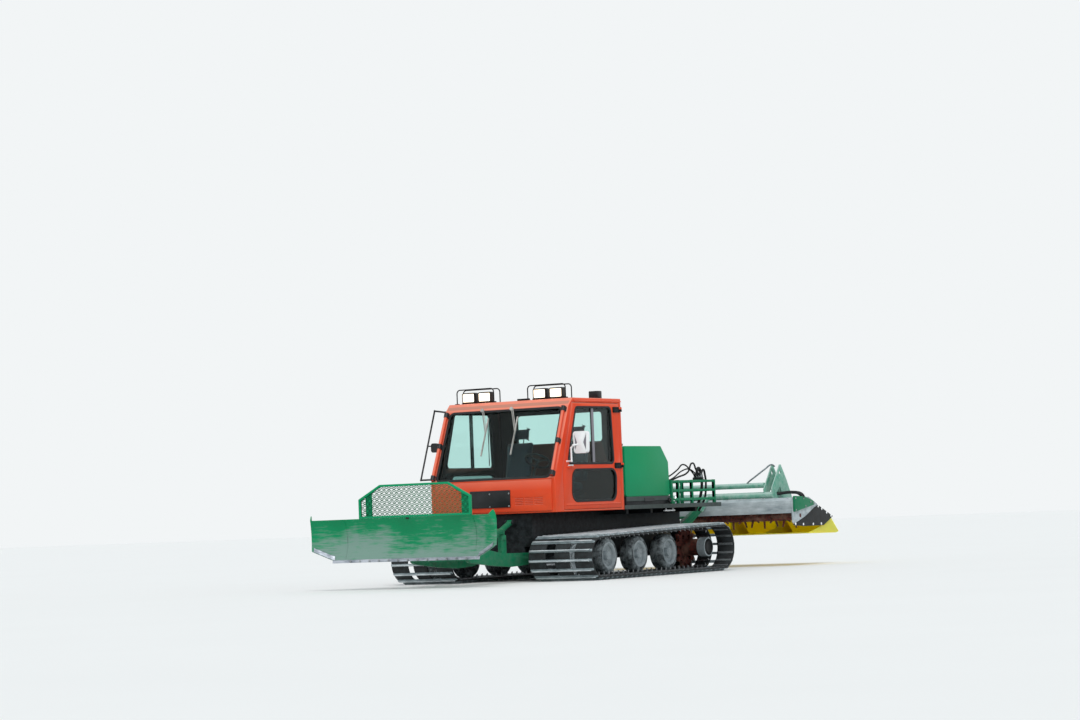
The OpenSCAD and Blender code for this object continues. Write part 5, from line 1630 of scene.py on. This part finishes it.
@dataclass
class BladeFront:
    """The blade's mesh guard, wing end plates, wear strips, fold welds, wear edge bolts and rubber stop."""

    top_z: float = 0.9253
    guard_x: float = 0.117
    guard_y: float = -4.239
    half_w: float = 0.868
    height: float = 0.43
    mid_z: float = 1.175
    bend: float = 0.34
    cell_w: float = 0.078
    cell_h: float = 0.044
    arc_z: float = 0.6625
    arc_r: float = 0.44
    wing_x: float = 1.0
    wing_l: float = 0.455
    wing_turn: float = math.radians(28.0)
    plate_back: tuple[Point2, ...] = (
        (-0.036, 0.972), (-0.012, 0.984), (0.012, 0.93), (0.026, 0.86), (0.022, 0.62), (0.012, 0.535)
    )

    def guard_outline(self) -> list[Point2]:
        """Gives the guard frame's outer corners in front view.

        Returns:
            The corners as (X, Z).
        """
        w, z0 = self.half_w, self.top_z
        top = z0 + self.height
        half = [(w, z0), (w, self.mid_z), (w - self.bend, top)]
        corners = [(-w, z0), *half, (-w + self.bend, top), (-w, self.mid_z)]
        return [(x + self.guard_x, z) for x, z in corners]

    def expanded_mesh(self) -> None:
        """Builds the expanded sheet: rows of level diamonds, cut off at the frame."""
        sheet, strand = Piece("guard_expanded_mesh"), Piece("strand_template")
        rows = int(self.height / self.cell_h) + 2
        columns = int(2 * self.half_w / self.cell_w) + 2
        half_w, half_h = self.cell_w / 2, self.cell_h / 2
        strand.block((0, -0.003, -0.0042), (math.hypot(half_w, half_h), 0.003, 0.0042), 0.0)
        mesh = strand.mesh()
        tilt = math.atan2(half_h, half_w)
        strands = ((tilt, 0, 0), (-tilt, 0, 0), (tilt, half_w, -half_h), (-tilt, half_w, half_h))
        for row in range(-1, rows):
            for column in range(-columns // 2 - 1, columns // 2 + 2):
                x = self.guard_x + column * self.cell_w + (half_w if row % 2 else 0.0)
                z = self.top_z + 0.01 + row * half_h * 2
                for turn, dx, dz in strands:
                    place = Matrix.Translation((x + dx, self.guard_y, z + dz))
                    sheet.stamp(mesh, place @ Matrix.Rotation(-turn, 4, "Y"))
        work = sheet.work
        frame = [Vector(corner) for corner in inset(self.guard_outline(), 0.02)]
        for i, b in enumerate(frame):
            a = frame[i - 1]
            d = b - a
            bmesh.ops.bisect_plane(
                work, geom=work.verts[:] + work.edges[:] + work.faces[:], plane_co=(a.x, 0, a.y),
                plane_no=(d.y, 0, -d.x), clear_outer=True,
            )
            bmesh.ops.holes_fill(work, edges=[e for e in work.edges if e.is_boundary], sides=8)
        sheet.done(MESH_GREEN, "green_paint", "blade", smooth=30.0)

    def guard_frame(self) -> None:
        """Builds the guard's angle-iron frame with its upright plates."""
        frame = Piece("blade_guard_frame")
        outer, y = self.guard_outline(), self.guard_y
        frame.prism(outer, Axis.Y, y - 0.02, y + 0.02, 0.003, hole=inset(outer, 0.028))
        w, z0 = self.half_w, self.top_z
        slope = (z0 + self.height - self.mid_z) / self.bend
        for x0, x1 in ((-w + 0.1, -w + 0.2), (w - 0.15, w - 0.01)):
            tops = [(x, self.mid_z - 0.022 + slope * (w - abs(x))) for x in (x1, x0)]
            plate = [(x0, z0 + 0.002), (x1, z0 + 0.002), *tops]
            frame.prism([(x + self.guard_x, z) for x, z in plate], Axis.Y, y + 0.003, y + 0.012, 0.001)
        frame.done(GREEN, "green_paint", "blade", ("blade_guard",))

    def dish(self, z: float) -> float:
        """Gives how far the blade's curved face stands from its foremost line, at a height."""
        return -self.arc_r + math.sqrt(self.arc_r**2 - (z - self.arc_z) ** 2)

    def folded(self, side: Side, y: float) -> Matrix:
        """Gives the transform that turns a wing back about its fold.

        Args:
            side: Which wing.
            y: The fold's Y.

        Returns:
            The transform.
        """
        turn = Matrix.Rotation(-side.value * self.wing_turn, 4, "Z")
        return Matrix.Translation((side.value * self.wing_x, y, 0)) @ turn

    def end_plates(self) -> None:
        """Builds the gusset that closes the outer end of each wing and rises over its top."""
        low_z, high_z, lead = 0.522, 0.925, 0.05
        front = [(self.dish(z), z) for z in (low_z + (high_z - low_z) * i / 10 for i in range(11))]
        outline = [(y + lead, z) for y, z in (*front, *self.plate_back)]
        for side in Side:
            plates = Piece(f"wing_end_plate_{side.label}")
            low, high = side.span(self.wing_l - 0.010, self.wing_l + 0.002)
            plates.prism(outline, Axis.X, low, high, 0.0015, self.folded(side, -4.215))
            plates.done(BLADE_GREEN, "green_paint", "blade")

    def wing_edges(self) -> None:
        """Builds the wear strip along the rising bottom edge of each wing, and the weld at its fold."""
        strips, welds = Piece("wing_wear_strips"), Piece("wing_fold_welds")
        tall, thick, sunk = 0.052, 0.007, -0.001
        for side in Side:
            s = side.value
            rings = []
            for i in range(7):
                x = 0.170 + 0.280 * i / 6
                foot = 0.400 + max(0.0, x - 0.182) / 0.273 * 0.120
                corners = ((foot, sunk), (foot, thick), (foot + tall, thick), (foot + tall, sunk))
                rings.append([(s * x, self.dish(z) - out, z) for z, out in corners])
            strips.loft(rings, self.folded(side, -4.165))
            spots = [0.415 + 0.5 * i / 10 for i in range(11)]
            welds.hose([(s * 0.999, -4.166 + self.dish(z), z) for z in spots], 0.006, 2)
        strips.done(EDGE_STEEL, "edge_steel", "blade")
        welds.done(BLADE_GREEN, "green_paint", "blade")

    def build(self) -> None:
        """Builds the guard, the wings' end plates and edges, the wear edge's bolts and the stop."""
        self.expanded_mesh()
        self.guard_frame()
        self.end_plates()
        self.wing_edges()
        bolts = Piece("wear_edge_bolts")
        for i in range(-6, 7):
            bolts.bolt((i * 0.15, -4.2685, 0.378), (0, -1, 0.3), 0.012, 0.006)
        bolts.done(BOLT_STEEL, "edge_steel", "blade")
        stop = Piece("blade_rubber_stop")
        stop.block((-0.03, -4.25, 0.90), (0.03, -4.19, 0.955), 0.01)
        stop.done(RUBBER, "black_rubber", "blade")


@dataclass
class TillerTrim:
    """Rivets, hoses, pipes and bolts of the tiller, the same on both sides."""

    end_x: float = 1.892
    guard: float = 0.008
    rivet: tuple[Point2, ...] = ((0, 0.0005), (0, 0.02), (0.003, 0.018), (0.007, 0.008), (0.008, 0.0005))
    rivets: tuple[Point2, ...] = (
        (3.274, 0.605), (3.598, 0.600), (3.868, 0.600), (3.788, 0.859), (3.902, 0.821), (4.062, 0.762),
        (4.206, 0.712), (3.02, 0.615),
    )
    bolts: tuple[Point2, ...] = (
        (3.01, 0.82), (3.01, 0.99), (3.27, 0.985), (3.50, 0.93), (3.60, 0.91), (3.33, 0.87)
    )
    hose: tuple[Point3, ...] = (
        (1.34, 0.0, 1.045), (1.46, 0.02, 1.055), (1.60, 0.09, 1.075), (1.76, 0.09, 1.08), (1.88, 0.08, 1.055),
        (1.906, 0.13, 0.99),
    )
    pipe: tuple[Point3, ...] = (
        (1.46, 3.28, 1.475), (1.44, 3.22, 1.50), (1.38, 3.13, 1.44), (1.26, 3.06, 1.34), (1.14, 3.04, 1.255),
        (1.10, 3.055, 1.225),
    )

    def build(self) -> None:
        """Builds the pale rivets of the guards, the motors' hoses, the grey pipes and the bolts."""
        rivets, hoses = Piece("guard_rivets"), Piece("tiller_hoses")
        pipes, bolts = Piece("tower_pipes"), Piece("tiller_bolts")
        for side in Side:
            s = side.value
            head = [(s * out, r) for out, r in self.rivet]
            for y, z in self.rivets:
                rivets.lathe(head, (s * (self.end_x + self.guard), y, z), 14)
            for start, radius in ((3.14, 0.024), (3.21, 0.018)):
                hoses.hose([(s * x, start + y, z) for x, y, z in self.hose], radius)
            pipes.hose([(s * x, y, z) for x, y, z in self.pipe], 0.012)
            for y, z in self.bolts:
                bolts.bolt((s * (self.end_x + 0.03), y, z), (s, 0, 0), 0.011, 0.008)
        for i in range(-9, 10):
            bolts.bolt((i * 0.2, 2.985, 1.0025), (0, 0, 1), 0.010, 0.007)
        rivets.done(WHITE_PLASTIC, "white_plastic", TILLER)
        hoses.done(HOSE_RUBBER, "black_rubber", TILLER)
        pipes.done(PIPE_STEEL, "hood_steel", TILLER)
        bolts.done(BOLT_STEEL, "hood_steel", TILLER)


@dataclass
class Seat:
    """A seat on its pedestal whose cushion, back and headrest are stuffed cloth."""

    side: Side
    y: float = -1.08
    floor: float = 0.958
    voxel: float = 0.012
    frames: int = 20
    cap: float = 0.02
    pads: tuple[tuple[str, tuple[Point2, ...], float], ...] = (
        ("cushion", ((-0.24, 0.25), (0.18, 0.25), (0.18, 0.34), (-0.24, 0.36)), 0.225),
        ("back", ((0.205, 0.36), (0.29, 0.36), (0.39, 0.95), (0.33, 0.965)), 0.215),
        ("headrest", ((0.345, 0.995), (0.405, 0.98), (0.43, 1.13), (0.378, 1.14)), 0.12),
    )

    def stuffed(self, name: str, outline: Sequence[Point2], half: float, x: float) -> bpy.types.Object:
        """Swells one pad by cloth simulation.

        Args:
            name: The pad's name.
            outline: Its side outline.
            half: Half of its width.
            x: The seat's place across the cab.

        Returns:
            The finished pad.
        """
        pad = Piece(name)
        side = [(self.y + y, self.floor + z) for y, z in outline]
        pad.prism(rounded(side, 0.03, 3), Axis.X, x - half, x + half, 0.02)
        made = placed(name, pad.mesh())
        remesh = made.modifiers.new("even", "REMESH")
        remesh.mode = "VOXEL"
        remesh.voxel_size = self.voxel
        self.bake(made)
        rest = [v.co.copy() for v in made.data.vertices]
        cloth = made.modifiers.new("stuffing", "CLOTH")
        cloth.settings.use_pressure = True
        cloth.settings.uniform_pressure_force = 4.0
        cloth.settings.effector_weights.gravity = 0.0
        scene = bpy.context.scene
        for frame in range(1, self.frames + 1):
            scene.frame_set(frame)
        self.bake(made)
        scene.frame_set(1)
        for vertex, start in zip(made.data.vertices, rest):
            move = vertex.co - start
            if move.length > self.cap:
                vertex.co = start + move.normalized() * self.cap
        swollen = Piece(name)
        swollen.work.from_mesh(made.data)
        bpy.data.objects.remove(made)
        return swollen.done(CLOTH, "seat_fabric", replaces=("seats",), smooth=60.0, outward=False)

    def bake(self, made: bpy.types.Object) -> None:
        """Replaces an object's mesh by what its modifiers give, and removes them.

        Args:
            made: The object.
        """
        graph = bpy.context.evaluated_depsgraph_get()
        mesh = bpy.data.meshes.new_from_object(made.evaluated_get(graph))
        made.modifiers.clear()
        made.data = mesh

    def build(self) -> None:
        """Builds the seat: its pads, pedestal and headrest posts."""
        x, y, z = self.side.value * 0.45, self.y, self.floor
        for pad, outline, half in self.pads:
            self.stuffed(f"seat_{pad}_{self.side.label}", outline, half, x)
        base = Piece(f"seat_pedestal_{self.side.label}")
        steps = ((0.17, 0.19, 0.0, 0.08), (0.12, 0.14, 0.07, 0.19), (0.2, 0.2, 0.18, 0.235))
        for half, rear, low, high in steps:
            base.block((x - half, y - half, z + low), (x + half, y + rear, z + high), 0.01)
        for dx in (-0.05, 0.05):
            base.hose([(x + dx, y + 0.35, z + 0.93), (x + dx, y + 0.385, z + 1.05)], 0.007)
        base.done(BLACK_PLASTIC, "seat_fabric")


@dataclass
class Studio:
    """The camera at the photograph's angle, the floor, the veiled sun and the pale world."""

    spot: Point3 = (20.778, -34.493, 0.886)
    up: Point3 = (0.0612, -0.0260, 0.9978)
    back: Point3 = (0.5247, -0.8495, -0.0543)
    sun_from: Point3 = (0.55, -0.75, 1.0)
    lens: float = 95.0
    sky: str = "#F2F5F6"
    light: str = "#EAF1F6"

    def camera(self) -> None:
        """Sets up the camera from its place and axes."""
        data = bpy.data.cameras.new("view")
        data.sensor_width = 36.0
        data.lens = self.lens
        data.clip_end = 400.0
        camera = placed("view", data)
        back = Vector(self.back).normalized()
        right = Vector(self.up).cross(back).normalized()
        turn = Matrix((right, back.cross(right), back)).transposed().to_4x4()
        camera.matrix_world = Matrix.Translation(self.spot) @ turn
        bpy.context.scene.camera = camera

    def floor(self) -> None:
        """Lays the floor."""
        floor = Piece("floor")
        bmesh.ops.create_grid(floor.work, x_segments=1, y_segments=1, size=120.0)
        mesh = floor.mesh()
        mesh.materials.append(CARD.material())
        placed("floor", mesh)

    def sun(self) -> None:
        """Sets the veiled sun, high in front on the machine's left."""
        data = bpy.data.lights.new("veiled_sun", "SUN")
        data.energy = 1.5
        data.angle = math.radians(30.0)
        placed("veiled_sun", data).rotation_euler = Vector(self.sun_from).to_track_quat("Z", "Y").to_euler()

    def world(self) -> None:
        """Sets an even pale sky that the camera, glass and metal see, with plain light from it."""
        world = bpy.data.worlds.new("sky")
        bpy.context.scene.world = world
        world.use_nodes = True
        tree = world.node_tree
        tree.nodes.clear()
        rays = add_node(tree, "LightPath").outputs
        seen = rays["Is Camera Ray"]
        for kind in ("Is Transmission Ray", "Is Glossy Ray"):
            seen = add_node(tree, "Math", {0: seen, 1: rays[kind]}, operation="MAXIMUM").outputs[0]
        light = add_node(tree, "Background", {"Color": linear(self.light), "Strength": 0.78}).outputs[0]
        backdrop = add_node(tree, "Background", {"Color": linear(self.sky), "Strength": 1.0}).outputs[0]
        mixed = add_node(tree, "MixShader", {0: seen, 1: light, 2: backdrop}).outputs[0]
        add_node(tree, "OutputWorld", {"Surface": mixed})

    def build(self) -> None:
        """Builds the whole studio."""
        self.camera()
        self.floor()
        self.sun()
        self.world()
        bpy.context.scene.view_settings.view_transform = "Standard"


def main() -> None:
    """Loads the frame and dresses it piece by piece."""
    logging.basicConfig(level=logging.INFO, format="%(name)s: %(message)s")
    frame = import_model()
    Studio().build()
    for group in CARRIED:
        group.build(frame)
    Cab().build()
    for side in Side:
        Door(side).build()
    DeckTrim().build()
    RoofLights().build()
    for side in Side:
        Track(side).build()
        RoadWheels(side).build()
    BladeFront().build()
    TillerTrim().build()
    for side in Side:
        Seat(side).build()


if __name__ == "__main__":
    main()
